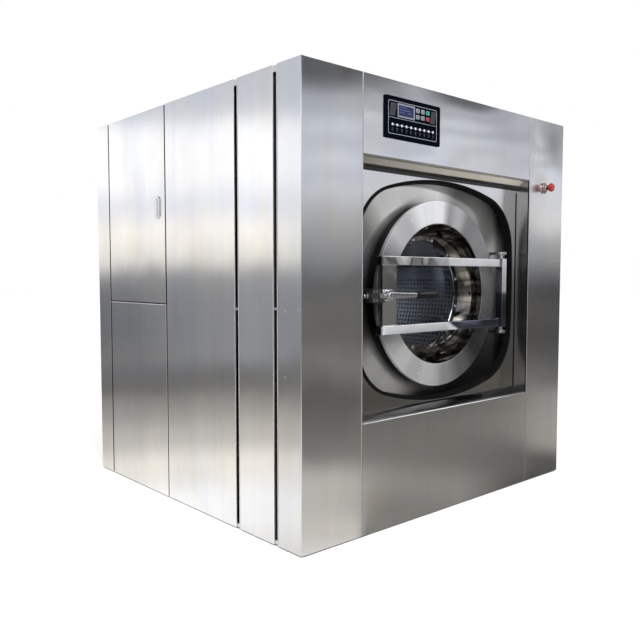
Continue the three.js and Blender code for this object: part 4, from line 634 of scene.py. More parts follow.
def build_yoke():
    bar_front, bar_back, bend_radius = -0.8503, RING_FRONT - GAP, 0.018
    post_left, post_right = 0.446, 0.486
    end = post_left + 0.002
    corner = arc((-0.452 + bend_radius, bar_front + bend_radius), bend_radius, 180, 270, 8)
    bars = [poly_solid([(end, bar_back), (-0.452, bar_back), *corner, (end, bar_front)], z - 0.02, z + 0.02, "Z",
        0.0022, 3) for z in BAR_Z]
    post = poly_solid(round_outline(post_left, post_right, -0.86, -0.82, 0.004, 4), 0.8502, 1.2058, "Z", 0.0015)
    beads = [sweep_solid([Vector((-0.445 + 0.0072 * i, -0.8463 + 0.0004 * (i % 2), z)) for i in range(13)], 0.0022, 8)
        for z in (0.894, 1.162)]
    beads += [sweep_solid([Vector((post_left, bar_front + 0.003 + 0.003 * i, z + dz)) for i in range(12)], 0.002, 8)
        for z in BAR_Z for dz in (-0.02, 0.02)]
    plate = box_solid(-0.446, -0.354, -0.8463, -0.8343, 0.892, 1.164, 0.0012)
    fine("door_yoke", "door", {YOKE_CHROME: [*bars, post], PLATE_STEEL: [plate], STEEL: beads})


def build_handle():
    x, z = -0.42, AXIS_Z
    tongue = round_outline(x - 0.061, x + 0.01, z - 0.01, z + 0.01, 0.005, 4)
    lever = [(x, z - 0.0148), (-0.25, z - 0.009), (-0.25, z + 0.009), (x, z + 0.0148)]
    fine("door_handle", "handle", {CHROME: [rod_solid(0.027, -0.8726, -0.8466, (x, z), 48, 0.003, steps=4),
        rod_solid(0.013, -0.8775, -0.8716, (x, z), edge=0.002), rod_solid(0.011, -0.847, -0.8303, (x, z)),
        poly_solid(tongue, -0.8626, -0.8506, edge=0.0012), poly_solid(lever, -0.8845, -0.8687, "Y", 0.003, 3)]})
    grip = [(0, 0.0003), (0.0132, 0.0003), (0.0155, 0.002), (0.0165, 0.006)]
    grip += [(0.0165 + 0.0005 * sin(pi * k / 10), 0.008 + 0.0115 * k) for k in range(1, 11)]
    grip += [(max(r, 0), y) for r, y in arc((0, 0.131), 0.017, 0, 90, 8)]
    fine("handle_grip", "handle", {GRIP_PLASTIC: [turn_solid(shifted(grip, -0.25), 40, (-0.8766, z), "X")]})


def build_hinge_and_lock():
    x, y, half, round_off = 0.466, -0.84, 0.026, 0.0173
    front, back = y - 0.022, -0.7403
    lug = [(x - half, back), *arc((x - half + round_off, front + round_off), round_off, 180, 270, 6),
        *arc((x + half - round_off, front + round_off), round_off, 270, 360, 6), (x + half, back)]
    chrome, steel = [], []
    for way in (-1, 1):
        near = AXIS_Z + way * 0.198
        far = near + way * 0.014
        chrome += [poly_solid(lug, near, far, "Z", 0.002, 3),
            rod_solid(0.01, AXIS_Z + way * 0.153, far, (x, y), axis="Z")]
        steel.append(rod_solid(0.0165, near - way * 0.0045, near, (x, y), axis="Z"))
    chrome.append(box_solid(x - half, x + half, back - 0.012, back, AXIS_Z - 0.212, AXIS_Z + 0.212, 0.0015))
    for z in (AXIS_Z - 0.15, AXIS_Z - 0.05, AXIS_Z + 0.05, AXIS_Z + 0.15):
        steel += [rod_solid(0.009, back - 0.0135, back - 0.0118, (x, z), 28),
            hex_head((x, z), back - 0.019, back - 0.0132, 0.0075)]
    fine("hinge_bracket", "tub", {CHROME: chrome, STEEL: steel})

    low, high, row = AXIS_Z - 0.03, AXIS_Z + 0.03, (-0.836, AXIS_Z)
    body = [(-0.53, -0.866), (-0.49, -0.866), (-0.49, -0.845), (-0.452, -0.845), (-0.452, -0.7403),
        (-0.53, -0.7403)]
    floor = rectangle(-0.492, -0.452, -0.866, -0.844)
    screws = [rod_solid(0.0045, -0.8672, -0.8655, (dx, AXIS_Z + dz), 20, 0.0006) for dx in (-0.52, -0.502)
        for dz in (-0.019, 0.019)]
    fine("lock_block", "tub", {BLACK_PLASTIC: [poly_solid(body, low, high, "Z", 0.0015),
        poly_solid(floor, low, AXIS_Z - 0.013, "Z", 0.0012)],
        STEEL: [rod_solid(0.016, -0.54, -0.5295, row, 6, axis="X"), *screws],
        CHROME: [rod_solid(0.011, -0.56, -0.539, row, 32, 0.002, "X")]})


# ---------- tub front and seal
def build_tub_front():
    profile = [(0.395, -0.771), (0.432, -0.771), (0.432, -0.768), (0.402, -0.768), (0.4, -0.766), (0.4, -0.742),
        (0.402, -0.74), (0.7, -0.74), (0.7028, -0.7388), (0.704, -0.736), (0.704, -0.734), (0.395, -0.734)]
    fine("tub_front", "tub", {TUB_STEEL: [turn_solid(profile, 160)],
        DARK_METAL: [hex_head(at, -0.7455, -0.7398, 0.008) for at in spots(24, 0.688)]})
    inner, outer, back, front = 0.398, 0.43, -0.7713, RING_BACK + GAP
    seal = [(inner, back), (inner + 0.001, back - 0.006), (inner + 0.006, back - 0.009), (inner + 0.007, front),
        (outer - 0.01, front), (outer - 0.006, front + 0.004), (outer - 0.004, back - 0.008), (outer, back - 0.004),
        (outer, back)]
    fine("door_gasket", "tub", {GASKET: [turn_solid(rounded(seal, 0.002))]})


# ---------- drum
DRUM_FRONT, DRUM_BACK, DRUM_R = -0.715, 0.125, 0.622
BAYS = 3
LIFTER_START = pi / 12


def perforated_wall():
    """The drum's wall as a sheet with real round holes, plain along each lifter and at both ends."""
    bm = bmesh.new()
    around, along = 156, 32
    y0, y1 = DRUM_FRONT + 0.03, DRUM_BACK - 0.022
    hole, sides, wall, plain = 0.0068, 8, 0.003, 0.13
    step_a, step_y = 2 * pi / around, (y1 - y0) / along
    bay = 2 * pi / BAYS

    def place(angle, y, radius):
        return bm.verts.new((radius * cos(angle), y, AXIS_Z + radius * sin(angle)))

    grid = [[place(a * step_a, y0 + k * step_y, DRUM_R) for k in range(along + 1)] for a in range(around)]
    for a in range(around):
        one, two = grid[a], grid[(a + 1) % around]
        middle = (a + 0.5) * step_a
        off = abs((middle - LIFTER_START + bay / 2) % bay - bay / 2)
        for k in range(along):
            corners = [two[k + 1], one[k + 1], one[k], two[k]]
            if off < plain:
                bm.faces.new(corners)
                continue
            rim = [(middle + u / DRUM_R, v) for u, v in spots(sides, hole, (0, y0 + (k + 0.5) * step_y))]
            inner, outer = ([place(*spot, radius) for spot in rim] for radius in (DRUM_R, DRUM_R + wall))
            for q in range(4):
                h0, h1, h2 = inner[2 * q], inner[2 * q + 1], inner[(2 * q + 2) % sides]
                bm.faces.new((corners[q], h0, h1))
                bm.faces.new((corners[q], h1, h2, corners[(q + 1) % 4]))
            for s in range(sides):
                n = (s + 1) % sides
                bm.faces.new((inner[s], inner[n], outer[n], outer[s]))
    return bm


def build_drum():
    mouth = shifted([(0.622, 0.032), (0.622, 0.008), (0.6195, 0.0045), (0.615, 0.003), (0.408, 0.003),
        (0.4045, 0.005), (0.403, 0.009), (0.403, 0.014), (0.4, 0.014), (0.4, 0.004), (0.404, 0), (0.619, 0),
        (0.625, 0.005), (0.625, 0.032)], DRUM_FRONT)
    tail = shifted([(0.622, -0.024), (0.625, -0.024), (0.625, 0.008), (0.622, 0.008)], DRUM_BACK)
    fine("drum_shell", "drum", {DRUM_STEEL: [perforated_wall(), turn_solid(mouth, 156), turn_solid(tail, 156)]})
    base, crest, top, foot = 0.075, 0.023, 0.502, 0.6205
    half = [(foot, base)] + [(foot - (foot - top - crest) * t, base + (crest - base) * t ** 0.8)
        for t in (0.15, 0.35, 0.55, 0.75, 0.9)]
    outline = half + arc((top + crest, 0), crest, 90, 270, 10) + [(u, -v) for u, v in reversed(half)]
    for index in range(BAYS):
        angle = LIFTER_START + index * 2 * pi / BAYS
        c, s = cos(angle), sin(angle)
        points = [(u * c - v * s, AXIS_Z + u * s + v * c) for u, v in outline]
        beam = poly_solid(points, DRUM_FRONT + 0.036, DRUM_BACK - 0.022, "Y", 0.004)
        fine(f"lifter_{index + 1}", "drum", {DRUM_STEEL: [beam]})


# ---------- edging of the opening
OPENING_HALF_WIDTH, OPENING_HALF_HEIGHT, OPENING_Z = 0.582, 0.516, 1.045
OPENING_SIDE_R, OPENING_TOP_R, OPENING_CORNER_R = 4.127, 1.422, 0.26


def bowed_square(margin):
    """The opening's outline in (x, z), moved outwards by a margin."""
    top, side, corner = OPENING_TOP_R + margin, OPENING_SIDE_R + margin, OPENING_CORNER_R + margin
    top_c = Vector((0, OPENING_HALF_HEIGHT - OPENING_TOP_R))
    side_c = Vector((OPENING_HALF_WIDTH - OPENING_SIDE_R, 0))
    apart = (side_c - top_c).length
    along = ((top - corner) ** 2 - (side - corner) ** 2 + apart ** 2) / (2 * apart)
    across = sqrt((top - corner) ** 2 - along ** 2)
    line = (side_c - top_c).normalized()
    centre = top_c + line * along + Vector((line.y, -line.x)) * across
    side_end, top_end = (degrees(atan2(centre.y - c.y, centre.x - c.x)) for c in (side_c, top_c))
    quarter = (arc(side_c, side, 0, side_end, 10)[:-1] + arc(centre, corner, side_end, top_end, 16)[:-1] + arc(top_c,
        top, top_end, 90, 12)[:-1])
    half = [*quarter, (0, OPENING_HALF_HEIGHT + margin), *[(-u, v) for u, v in reversed(quarter[1:])]]
    rim = [*half, (-quarter[0][0], 0), *[(u, -v) for u, v in reversed(half[1:])]]
    return [(u, v + OPENING_Z) for u, v in rim]


def build_edging():
    """Rubber bead round the opening with a deep sleeve towards the tub: a section swept along the outline."""
    section = [(-0.005, -0.004), (-0.0062, 0.008), (-0.0095, 0.028), (-0.0093, 0.0298), (-0.0078, 0.0302),
        (-0.0064, 0.028), (-0.001, 0.0095), (0.005, 0.0079), (0.0085, 0.0065), (0.009, 0.003), (0.009, 0.0023),
        (0, 0.0023), (0, -0.0003), (0.009, -0.0003), (0.009, -0.0012), (0.0084, -0.0045), (0.005, -0.0058),
        (0, -0.006), (-0.0035, -0.0054)]
    bm = bmesh.new()
    rings = [[vert_on(bm, "Y", u, v, RECESS + depth) for u, v in bowed_square(margin)] for margin, depth in section]
    fine("surround_trim", "cabinet", {RUBBER: [stitch(bm, rings)]})


# ---------- control panel
PLATE_FRONT = -0.9063


def build_control_panel():
    """The printed frame, the row of indicators and the screen on the overlay plate."""
    low, high = PLATE_FRONT - 0.00025, PLATE_FRONT + 0.0002

    def bar(*sides):
        return poly_solid(rectangle(*sides), low, high)

    grey = [frame_solid(round_outline(-0.481, -0.16, 1.722, 1.862, 0.007),
        round_outline(-0.4794, -0.1616, 1.7236, 1.8604, 0.0054), low, high), bar(-0.4796, -0.1614, 1.7902, 1.7916),
        bar(-0.454, -0.186, 1.7614, 1.7626)]
    white, faint = [], []
    for i in range(10):
        x = -0.454 + 0.0298 * i
        uneven, short = 0.004 + 0.0006 * (i % 3), 0.0055 - 0.0007 * (i % 4)
        grey.append(rod_solid(0.0062, low - 0.0002, high, (x, 1.762), 28, 0.0001))
        white.append(rod_solid(0.0042, low - 0.0008, high, (x, 1.762), 24, 0.0004))
        faint += [bar(x - 0.0065, x + 0.0065, 1.7455, 1.7475), bar(x - uneven, x + uneven, 1.7405, 1.7425),
            bar(x - short, x + 0.0055, 1.7355, 1.7375)]
    for x0, x1 in ((-0.474, -0.431), (-0.206, -0.166)):
        for x in [x0 + (x1 - x0 - 0.01) * k / 8 for k in range(9)]:
            faint.append(poly_solid([(x, 1.799), (x + 0.0022, 1.799), (x + 0.0122, 1.853), (x + 0.01, 1.853)], low,
                high))
    piece("panel_print", "cabinet", {PRINT_GREY: grey, DOT_WHITE: white, PRINT_FAINT: faint})

    left, width = -0.4182, 0.1004
    bezel = frame_solid(round_outline(-0.424, -0.312, 1.797, 1.855, 0.003),
        round_outline(-0.4176, -0.3184, 1.8034, 1.8486, 0.0015), -0.9081, -0.905)
    lens = poly_solid(round_outline(left, left + width, 1.8028, 1.8492, 0.0015, 3), -0.9057, -0.9046, edge=0.0003)
    marks = [poly_solid(rectangle(left + width * start, left + width * end, z - 0.0022, z + 0.0022), -0.90585,
        -0.9056) for z, start, end in ((1.841, 0.1, 0.55), (1.83, 0.1, 0.8), (1.819, 0.1, 0.42), (1.819, 0.6, 0.88))]
    piece("panel_screen", "cabinet", {SCREEN_FRAME: [bezel], SCREEN: [lens], SCREEN_MARK: marks})


def build_keys():
    """Soft-edged key caps, each with its mark."""
    arrow = [(-0.0048, -0.003), (0.0048, -0.003), (0, 0.0042)]
    for name, x, z, material, mark in (("key_down", -0.291, 1.814, KEY_WHITE, [(-u, -v) for u, v in arrow]),
            ("key_up", -0.291, 1.841, KEY_WHITE, arrow),
            ("key_back", -0.257, 1.814, KEY_WHITE, [(0.004, -0.0042), (0.004, 0.0042), (-0.0042, 0)]),
            ("key_enter", -0.257, 1.841, KEY_WHITE, rectangle(-0.0045, 0.0045, -0.0012, 0.0012)),
            ("key_stop", -0.223, 1.814, KEY_RED, rectangle(-0.0034, 0.0034, -0.0034, 0.0034)),
            ("key_start", -0.223, 1.841, KEY_GREEN, [(-0.0034, -0.0042), (0.0042, 0), (-0.0034, 0.0042)])):
        cap = poly_solid(round_outline(x - 0.012, x + 0.012, z - 0.0095, z + 0.0095, 0.004), -0.9078, -0.9016, "Y",
            0.0008, 3)
        sign = poly_solid([(x + u, z + v) for u, v in mark], -0.90792, -0.9076)
        fine(name, name, {material: [cap], DARK_METAL: [sign]})


def build_emergency_stop():
    at = (0.761, 1.591)
    collar = [(0.009, -0.855), (0.013, -0.855), (0.013, -0.9003), (0.03, -0.9003), (0.03, -0.904),
        (0.0285, -0.9063), (0.0215, -0.9063), (0.0215, -0.9085), (0.017, -0.9095), (0.017, -0.9255),
        (0.0162, -0.9263), (0.009, -0.9263)]
    ring = [(0.019, -0.9064), (0.0215, -0.9064), (0.0285, -0.9064), (0.0285, -0.9072), (0.027, -0.9082),
        (0.019, -0.9082)]
    ribs = [rod_solid(0.0012, -0.925, -0.9105, spot, 8, 0.0003) for spot in spots(24, 0.0168, at, 0)]
    fine("stop_collar", "cabinet", {CHROME: [turn_solid(rounded(collar, 0.0008), 64, at), *ribs],
        COLLAR_RED: [turn_solid(ring, 64, at)]})
    stem = [(0, -0.944), (0.0076, -0.944), (0.008, -0.9436), (0.008, -0.888), (0, -0.888)]
    fine("stop_stem", "stop_stem", {BLACK_PLASTIC: [turn_solid(stem, 40, at)]})
    head = [(0.0083, -0.9323), (0.0155, -0.9323), (0.0162, -0.9335), (0.0175, -0.9385), (0.0222, -0.9415),
        (0.0229, -0.944), (0.023, -0.9475), (0.0226, -0.951), (0.0212, -0.9545), (0.0186, -0.9572),
        (0.015, -0.9586), (0.01, -0.9592), (0, -0.9593), (0, -0.9441), (0.0083, -0.9441)]
    signs = [poly_solid(arc(at, 0.0128, turn, turn + 88, 8) + arc(at, 0.0108, turn + 88, turn, 8), -0.9592, -0.958)
        for turn in (40, 220)]
    fine("stop_head", "stop_head", {RED_PLASTIC: [turn_solid(head, 96, at, lobe=0.016)], KEY_WHITE: signs})


# ---------- skin fixings
HATCH_FOOT, HATCH_FRONT, HATCH_BACK = 0.978, 0.137, 0.749
PROUD, SEAM_TOP = 0.0004, 1.945
SIDES = (-1, 1)


def build_skin_fixings():
    """Rivets and slot clips, sealant, sheets' cut edges in a lighter steel that is partly a painted highlight of the
    folds, a rubber strip in the recess's corner, a near-black strip as painted shade under the soffit, and screws at
    the back and on the lid.
    """
    steel = [dome_head(at, -HALF_WIDTH, -1, 0.0038, 0.0011, "X")
        for at in ((-0.802, 0.974), (-0.8825, 0.984), (-0.799, 0.71))]
    for front, z in ((-0.75, 0.981), (-0.48, 0.972)):
        y0, y1 = front + 0.0008, front + 0.0232
        for side in SIDES:
            steel += [box_solid(side * 0.9565, side * 0.9395, y0, y1, z - 0.005, z + 0.005, 0.0008),
                box_solid(side * 0.956, side * 0.9395, y0, y1, 0.009, 0.026, 0.0008),
                dome_head((front + 0.012, z + 0.018), side * 0.94, side, 0.0045, 0.0025, "X")]
    piece("slot_fixings", "cabinet", {STEEL: steel})

    out, deep = -HALF_WIDTH - PROUD, -HALF_WIDTH + 0.006
    strips = [box_solid(side * 0.6239, side * 0.6226, -0.8982, -0.892, 0.008, 1.946) for side in SIDES]
    strips += [box_solid(out, deep, HATCH_FRONT - 0.0046, HATCH_FRONT - 0.0015, 0.01, SEAM_TOP),
        box_solid(out, deep, HATCH_BACK + 0.0015, HATCH_BACK + 0.0046, 0.01, SEAM_TOP),
        box_solid(out, deep, HATCH_FRONT + 0.002, HATCH_BACK - 0.002, HATCH_FOOT - 0.0046, HATCH_FOOT - 0.0016)]
    piece("seam_sealant", "cabinet", {RUBBER: strips})

    # strips in a lighter, rough steel along the cut edges and folds: the rough finish is real, the lighter tone
    # partly a painted highlight of the folds
    edges = [box_solid(out, deep, HATCH_FRONT + 0.003, HATCH_BACK - 0.003, HATCH_FOOT - 0.0085, HATCH_FOOT - 0.0046,
        0.0004)]
    for near in (-0.75, -0.48):
        for edge, way in ((near, -1), (near + 0.024, 1)):
            for side, proud in ((-1, PROUD), (1, -0.0001)):
                edges.append(box_solid(side * (HALF_WIDTH - 0.004), side * (HALF_WIDTH + proud), edge + way * 0.0022,
                    edge - way * 0.0006, 0.01, 1.948, 0.0004))
    edges += [box_solid(side * 0.6242, side * 0.6268, FRONT - PROUD, FRONT + 0.004, 0.01, 1.948, 0.0004)
        for side in SIDES]
    piece("sheet_edges_and_fold_highlights", "cabinet", {EDGE_STEEL: edges})
    piece("recess_corner", "cabinet",
        {RUBBER: [box_solid(0.6195, 0.6234, -0.8215, -0.8198, 0.512, 1.56)]})
    # a near-black strip under the soffit: painted shade where the soffit shades the top of the recess
    piece("soffit_shade_strip", "cabinet",
        {SOFFIT_SHADE_STEEL: [box_solid(-0.6232, 0.6232, -0.8226, -0.8198, 1.5715, 1.5815, 0.0008)]})

    heads = [dome_head((x, 0.06 + 0.1655 * k), BACK) for k in range(12) for x in (-0.795, 0.795)]
    heads += [dome_head((-0.6 + 0.24 * k, z), BACK) for k in range(6) for z in (0.035, 1.93)]
    heads += [hex_head(at, 0.9078, 0.9135, 0.007) for at in spots(8, 0.072, (-0.42, 0.21))]
    heads += [hex_head((x, z), 0.9078, 0.913, 0.006) for x in (-0.205, -0.085, 0.085, 0.205) for z in (1.66, 1.74)]
    piece("rear_fixings", "cabinet", {STEEL: heads})

    places = [(x, -0.86 + 0.2457 * k) for k in range(8) for x in (-0.925, 0.925)]
    places += [(-0.66 + 0.264 * k, y) for k in range(6) for y in (-0.878, 0.878)]
    piece("lid_fixings", "cabinet",
        {STEEL: [dome_head(at, 1.947, rise=0.0026, axis="Z") for at in places]})


def build_hatch_seal():
    """The seal round the service door's edge, which swings with the door."""
    out, deep, inner, outer = -HALF_WIDTH - PROUD, -HALF_WIDTH + 0.0016, 0.0014, 0.0006
    piece("service_door_seal", "service_door",
        {RUBBER: [box_solid(out, deep, HATCH_FRONT - outer, HATCH_FRONT + inner, HATCH_FOOT, SEAM_TOP),
        box_solid(out, deep, HATCH_BACK - inner, HATCH_BACK + outer, HATCH_FOOT, SEAM_TOP),
        box_solid(out, deep, HATCH_FRONT, HATCH_BACK, HATCH_FOOT - outer, HATCH_FOOT + inner)]})


def build_service_lock():
    y, z, seat = 0.207, 1.455, -0.9603
    plate = round_outline(y - 0.023, y + 0.023, z - 0.055, z + 0.055, 0.023, 12)
    rib = round_outline(y - 0.0076, y + 0.0076, z - 0.0435, z + 0.0435, 0.0075, 8)
    cam = round_outline(y - 0.01, y + 0.01, z - 0.01, z + 0.086, 0.005, 4)
    # the keyhole is a thin near-black slab: painted shade where the hole would be
    keyhole = rectangle(y + 0.002, y + 0.004, z - 0.028, z - 0.016)
    fine("service_lock", "service_lock", {EDGE_STEEL: [poly_solid(plate, seat - 0.006, seat, "X", 0.0012, 3)],
        CHROME: [poly_solid(rib, seat - 0.012, seat - 0.004, "X", 0.0022, 3)],
        STEEL: [rod_solid(0.009, seat - 0.001, -0.934, (y, z), axis="X"),
        poly_solid(cam, -0.935, -0.931, "X", 0.0006)],
        KEY_CYLINDER: [rod_solid(0.0085, seat - 0.0095, seat - 0.004, (y + 0.003, z - 0.022), axis="X")],
        DARK_METAL: [poly_solid(keyhole, seat - 0.0098, seat - 0.009, "X")]})


# ---------- suspension and drive
def build_springs():
    """Coil springs, each one unbroken wire with closed end turns, between cabinet and tub."""
    low, high, wire, mean, turns = 0.1243, 0.6037, 0.0125, 0.068, 5
    rise, share = high - low - 2 * wire, 1 / turns
    closing = 2 * wire / rise

    def climb(t):
        if t < share:
            return closing * t / share
        if t > 1 - share:
            return 1 - closing * (1 - t) / share
        return closing + (t - share) / (1 - 2 * share) * (1 - 2 * closing)

    for row, y in (("front", -0.52), ("rear", 0.1)):
        for side, x in (("left", -0.8), ("right", 0.8)):
            path = []
            for t in [i / (turns * 32) for i in range(turns * 32 + 1)]:
                a = 2 * pi * turns * t
                path.append(Vector((x + mean * cos(a), y + mean * sin(a), low + wire + rise * climb(t))))
            spring = fine(f"spring_{row}_{side}", None, {SPRING_PAINT: [sweep_solid(path, wire, 14)]})
            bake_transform(spring)


def build_motor_pulley():
    """A pulley with three rounded V grooves, its bolts and the motor's shaft."""
    motor, rim, low, high = (0.33, 0.528), 0.075, 0.521, 0.585
    pitch = (high - low) / 3
    profile = []
    for start in [low + k * pitch for k in range(3)]:
        profile += [(rim - 0.0006, start + 0.0002), (rim, start + 0.0016), (rim - 0.0072, start + pitch / 2 - 0.0012),
            (rim - 0.0078, start + pitch / 2), (rim - 0.0072, start + pitch / 2 + 0.0012),
            (rim, start + pitch - 0.0016)]
    profile += [(rim - 0.0006, high), (0.052, high), (0.05, 0.579), (0.034, 0.579), (0.032, 0.5848), (0, 0.5848),
        (0, 0.5212), (0.032, 0.5212), (0.034, 0.527), (0.05, 0.527), (0.052, low)]
    fine("motor_pulley", "motor_rotor", {FRAME_PAINT: [turn_solid(profile, 72, motor)],
        STEEL: [rod_solid(0.02, 0.416, 0.523, motor, 36),
        *[hex_head(at, 0.5845, 0.59, 0.0055) for at in spots(4, 0.022, motor)]]})


for build in (build_door, build_yoke, build_handle, build_hinge_and_lock, build_tub_front, build_drum, build_edging,
        build_control_panel, build_keys, build_emergency_stop, build_skin_fixings, build_hatch_seal,
        build_service_lock, build_springs, build_motor_pulley):
    build()


# ---------- room that the steel mirrors
WARM, PLAIN, COOL = (1.04, 1, 0.93), (1, 1, 1), (0.95, 0.98, 1.06)
ROOM_RADIUS, ROOM_HEIGHT, FLOOR_REACH = 6, 6, 9
LEFT_IMAGE = (0.805, -2.99)  # the photo's place mirrored in the cabinet's left side
FRONT_IMAGE = (-2.725, 1.19)  # and in its front


def soft_ramp(g, value, reach, *stops):
    """A tone by a distance in metres, from stops of distance and brightness; a tint holds for the stops after it."""
    tones = []
    for stop in stops:
        if len(stop) == 3:
            tint = stop
        else:
            tones.append((stop[0] / reach, dimmed(tint, stop[1])))
    return g.ramp(g.math("DIVIDE", value, reach), tones)


def leftness(g, x, y):
    """1 on the side of the room that the left panels mirror, 0 on the one that the front mirrors."""
    return g.rise(g.minus(g.times(y, 0.64), g.times(x, 0.77)), -0.8, 2.6)


def front_place(g, x, y):
    """The place along the cabinet's front, in metres from its middle, that mirrors a point of the room."""
    image_x, image_y = FRONT_IMAGE
    share = g.math("DIVIDE", g.plus(x, -image_x), g.minus(image_y, y))
    return g.plus(g.times(share, image_y - FRONT), image_x)


def paint_walls(g, x, y, z):
    """A window wall on the left, a darker hall with rows of daylight in front and its lit roof high above."""
    height = g.plus(z, g.span(g.noise(0.45, 2, 0.5, (1, 1, 0.5)), -0.1, 0.1))
    roof = (COOL, (4, 0.06), PLAIN, (4.4, 2.8), (5.9, 3.2))
    left = soft_ramp(g, height, ROOM_HEIGHT, WARM, (0, 0.2), COOL, (0.5, 0.15), (0.92, 0.17), (1.1, 0.24), WARM,
        (1.38, 1.1), (1.7, 1.3), COOL, (2, 1.1), PLAIN, (2.3, 1.4), (2.85, 1.4), COOL, (3.1, 0.8), (6, 0.72))
    front = soft_ramp(g, height, ROOM_HEIGHT, WARM, (0, 0.3), (0.4, 0.17), (0.75, 0.22), PLAIN, (1.1, 0.08),
        (1.5, 0.33), (2, 0.62), COOL, (2.2, 0.95), (2.4, 0.66), (2.55, 1.1), (2.75, 0.6), (2.95, 1.05), (3.15, 0.5),
        (3.3, 0.8), (3.45, 0.1), (3.6, 0.05), *roof)
    pillar = soft_ramp(g, height, ROOM_HEIGHT, WARM, (0, 0.3), (0.4, 0.17), (0.75, 0.2), PLAIN, (1, 0.09),
        (1.15, 0.2), (1.48, 0.41), (1.85, 1.2), COOL, (2.2, 1), (2.55, 0.5), (2.96, 0.25), (3.3, 0.6), (3.5, 0.3),
        *roof)
    front = g.mix(g.rise(front_place(g, x, y), 0.6, 0.66), front, pillar)
    posts = g.rise(g.noise(1.7, 2, 0.6, (1, 1, 0)), 0.53, 0.62)
    lit = g.times(posts, g.times(g.rise(z, 0.85, 1.1), g.fall(z, 1.55, 1.85)))
    front = g.mix(lit, front, (0.92, 0.97, 1.08))
    low_right = g.times(g.rise(x, 3.6, 4.6), g.fall(z, 1, 1.25))
    front = g.shade(low_right, front, (0.5, 0.5, 0.52))
    trays = g.times(g.rise(x, -3.5, -3.75), g.fall(z, 1.05, 1.25))
    return g.mix(leftness(g, x, y), front, g.mix(trays, left, (0.36, 0.37, 0.39)))


def paint_floor(g, x, y, _):
    """Bright floor close to the left side and the left front corner, dark further away."""
    def away(centre):
        return g.distance(g.minus(x, centre[0]), g.minus(y, centre[1]))

    left = soft_ramp(g, away(LEFT_IMAGE), FLOOR_REACH, PLAIN, (0, 1.3), (3.4, 1.3), WARM, (4.15, 0.98), (4.9, 0.62),
        (5.9, 0.44), (6.5, 0.33), (7.1, 0.17), COOL, (9, 0.19))
    mirrored, place = away(FRONT_IMAGE), front_place(g, x, y)
    front = soft_ramp(g, mirrored, FLOOR_REACH, WARM, (0, 0.8), (3, 0.76), (3.28, 0.7), (3.75, 0.74), (4.38, 0.27),
        (5.25, 0.18), (6.57, 0.1), (7.4, 0.17), (8.8, 0.33))
    for start, end, *bands in ((-0.66, -0.6, (3.28, 0.3), (3.75, 0.34), (4.38, 0.25), (5.25, 0.24), (6.5, 0.17),
            (8.8, 0.3)), (0.05, 0.5, (3.28, 0.12), (3.75, 0.13), (4.38, 0.2), (5.25, 0.27), (6.57, 0.17),
            (8.8, 0.25)), (0.6, 0.66, (3.75, 0.1), (4.38, 0.13), (5, 0.5), (6.8, 0.52), (8, 0.16), (8.8, 0.15))):
        front = g.mix(g.rise(place, start, end), front, soft_ramp(g, mirrored, FLOOR_REACH, WARM, *bands))
    return g.mix(g.rise(g.plus(x, g.times(y, -1)), 0.3, -0.6), front, left)


def paint_roof(g, x, y, _):
    """A dark roof with rows of lamps."""
    rows = g.times(g.fall(g.math("PINGPONG", y, 0.9), 0.06, 0.1), g.fall(g.math("PINGPONG", x, 0.75), 0.45, 0.5))
    return g.mix(rows, (0.1, 0.1, 0.105), (3, 3.05, 3.2))


def stage_mesh(name, verts, faces, material):
    mesh = bpy.data.meshes.new(name)
    mesh.from_pydata(verts, [], faces)
    mesh.materials.append(material)
    obj = add_object(name, mesh)
    return obj


def mirrored_mesh(name, verts, faces, paint):
    """A glowing part of the room that only shows in reflections; paint gives its colour by place."""
    g = surface(name)
    g.tree.nodes.remove(g.shader)
    strength = g.span(g.noise(0.6, 3, 0.5, (1, 1, 0.12)), 0.86, 1.14)
    glow = g.node("Emission", {"Color": paint(g, *g.split()), "Strength": strength}, "Emission")
    g.feed(g.tree.nodes["Material Output"], {"Surface": glow})
    obj = stage_mesh(name, verts, faces, g.owner)
    obj.visible_camera = obj.visible_diffuse = obj.visible_shadow = obj.visible_volume_scatter = False


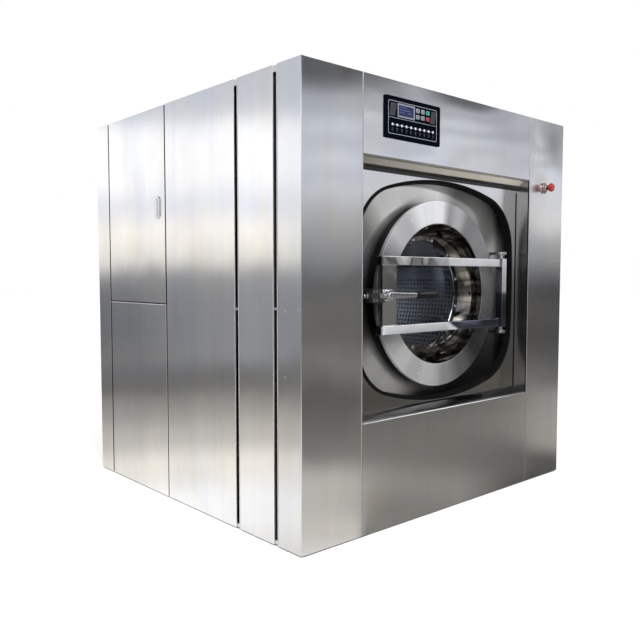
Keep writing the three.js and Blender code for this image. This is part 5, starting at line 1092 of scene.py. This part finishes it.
def build_room():
    def square(half, height):
        return [(x, y, height) for x, y in rectangle(-half, half, -half, half)]

    g = surface("pale_floor")
    tone = g.mix(g.span(g.noise(0.8, 3, 0.5), 0, 0.25), (0.9, 0.898, 0.893), (0.87, 0.868, 0.862))
    quad = [(0, 1, 2, 3)]
    stage_mesh("floor", square(40, 0), quad, g.dress({"Base Color": tone, "Roughness": 0.8}))
    mirrored_mesh("reflected_floor", square(8, 0.004), quad, paint_floor)
    mirrored_mesh("reflected_roof", square(8, ROOM_HEIGHT), quad, paint_roof)
    sides = 96
    verts = [(x, y, z) for x, y in spots(sides, ROOM_RADIUS, (0, 0), 0) for z in (0, ROOM_HEIGHT)]
    faces = [(2 * i, 2 * j, 2 * j + 1, 2 * i + 1) for i, j in ((i, (i + 1) % sides) for i in range(sides))]
    mirrored_mesh("reflected_walls", verts, faces, paint_walls)

    world = bpy.data.worlds.new("studio")
    scene.world = world
    world.use_nodes = True
    g = Graph(world)
    rays = g.node("LightPath", {}).outputs
    seen = g.math("MAXIMUM", rays["Is Camera Ray"], rays["Is Glossy Ray"])
    seen = g.math("MAXIMUM", seen, rays["Is Transmission Ray"])
    g.feed(g.tree.nodes["Background"], {"Color": (1, 1, 1, 1), "Strength": g.span(seen, 0.5, 1, 0, 1)})


# ---------- lamps and camera
def add_lamp(name, kind, place, target, power, **settings):
    """A lamp that shines from a place to a target and shows in no reflection."""
    lamp = bpy.data.lights.new(name, kind)
    for key, value in {"energy": power, **settings}.items():
        setattr(lamp, key, value)
    obj = add_object(name, lamp)
    obj.location = place
    obj.rotation_euler = (Vector(target) - Vector(place)).to_track_quat("-Z", "Y").to_euler()
    obj.visible_camera = obj.visible_glossy = False


def build_camera():
    """The photo's viewpoint, fitted to the cabinet's straight edges."""
    camera = bpy.data.cameras.new("camera")
    camera.sensor_width, camera.lens = 36, 39.83
    obj = add_object("camera", camera)
    yaw, pitch, roll = radians(41.705), radians(3.528), radians(0.02)
    forward = Vector((sin(yaw) * cos(pitch), cos(yaw) * cos(pitch), -sin(pitch)))
    right = Vector((cos(yaw), -sin(yaw), 0))
    turned = Matrix((right, right.cross(forward), -forward)).transposed().to_4x4()
    obj.matrix_world = Matrix.Translation((-2.7251, -2.99, 1.1131)) @ turned @ Matrix.Rotation(roll, 4, "Z")
    scene.camera = obj


build_room()
add_lamp("key", "AREA", (-2.5, -3.2, 4.2), (0, -0.3, 0.9), 130, size=2.5)
add_lamp("drum_light", "AREA", (0.4, 0.105, 0.96), (0.6, -0.05, 0.88), 0.26, size=0.14, color=(0.93, 0.96, 1),
    spread=radians(150))
add_lamp("soft_sun", "SUN", (0, 0, 0), (0.35, 0.45, -1), 2.4, angle=radians(50))
build_camera()
scene.view_settings.view_transform = "Standard"
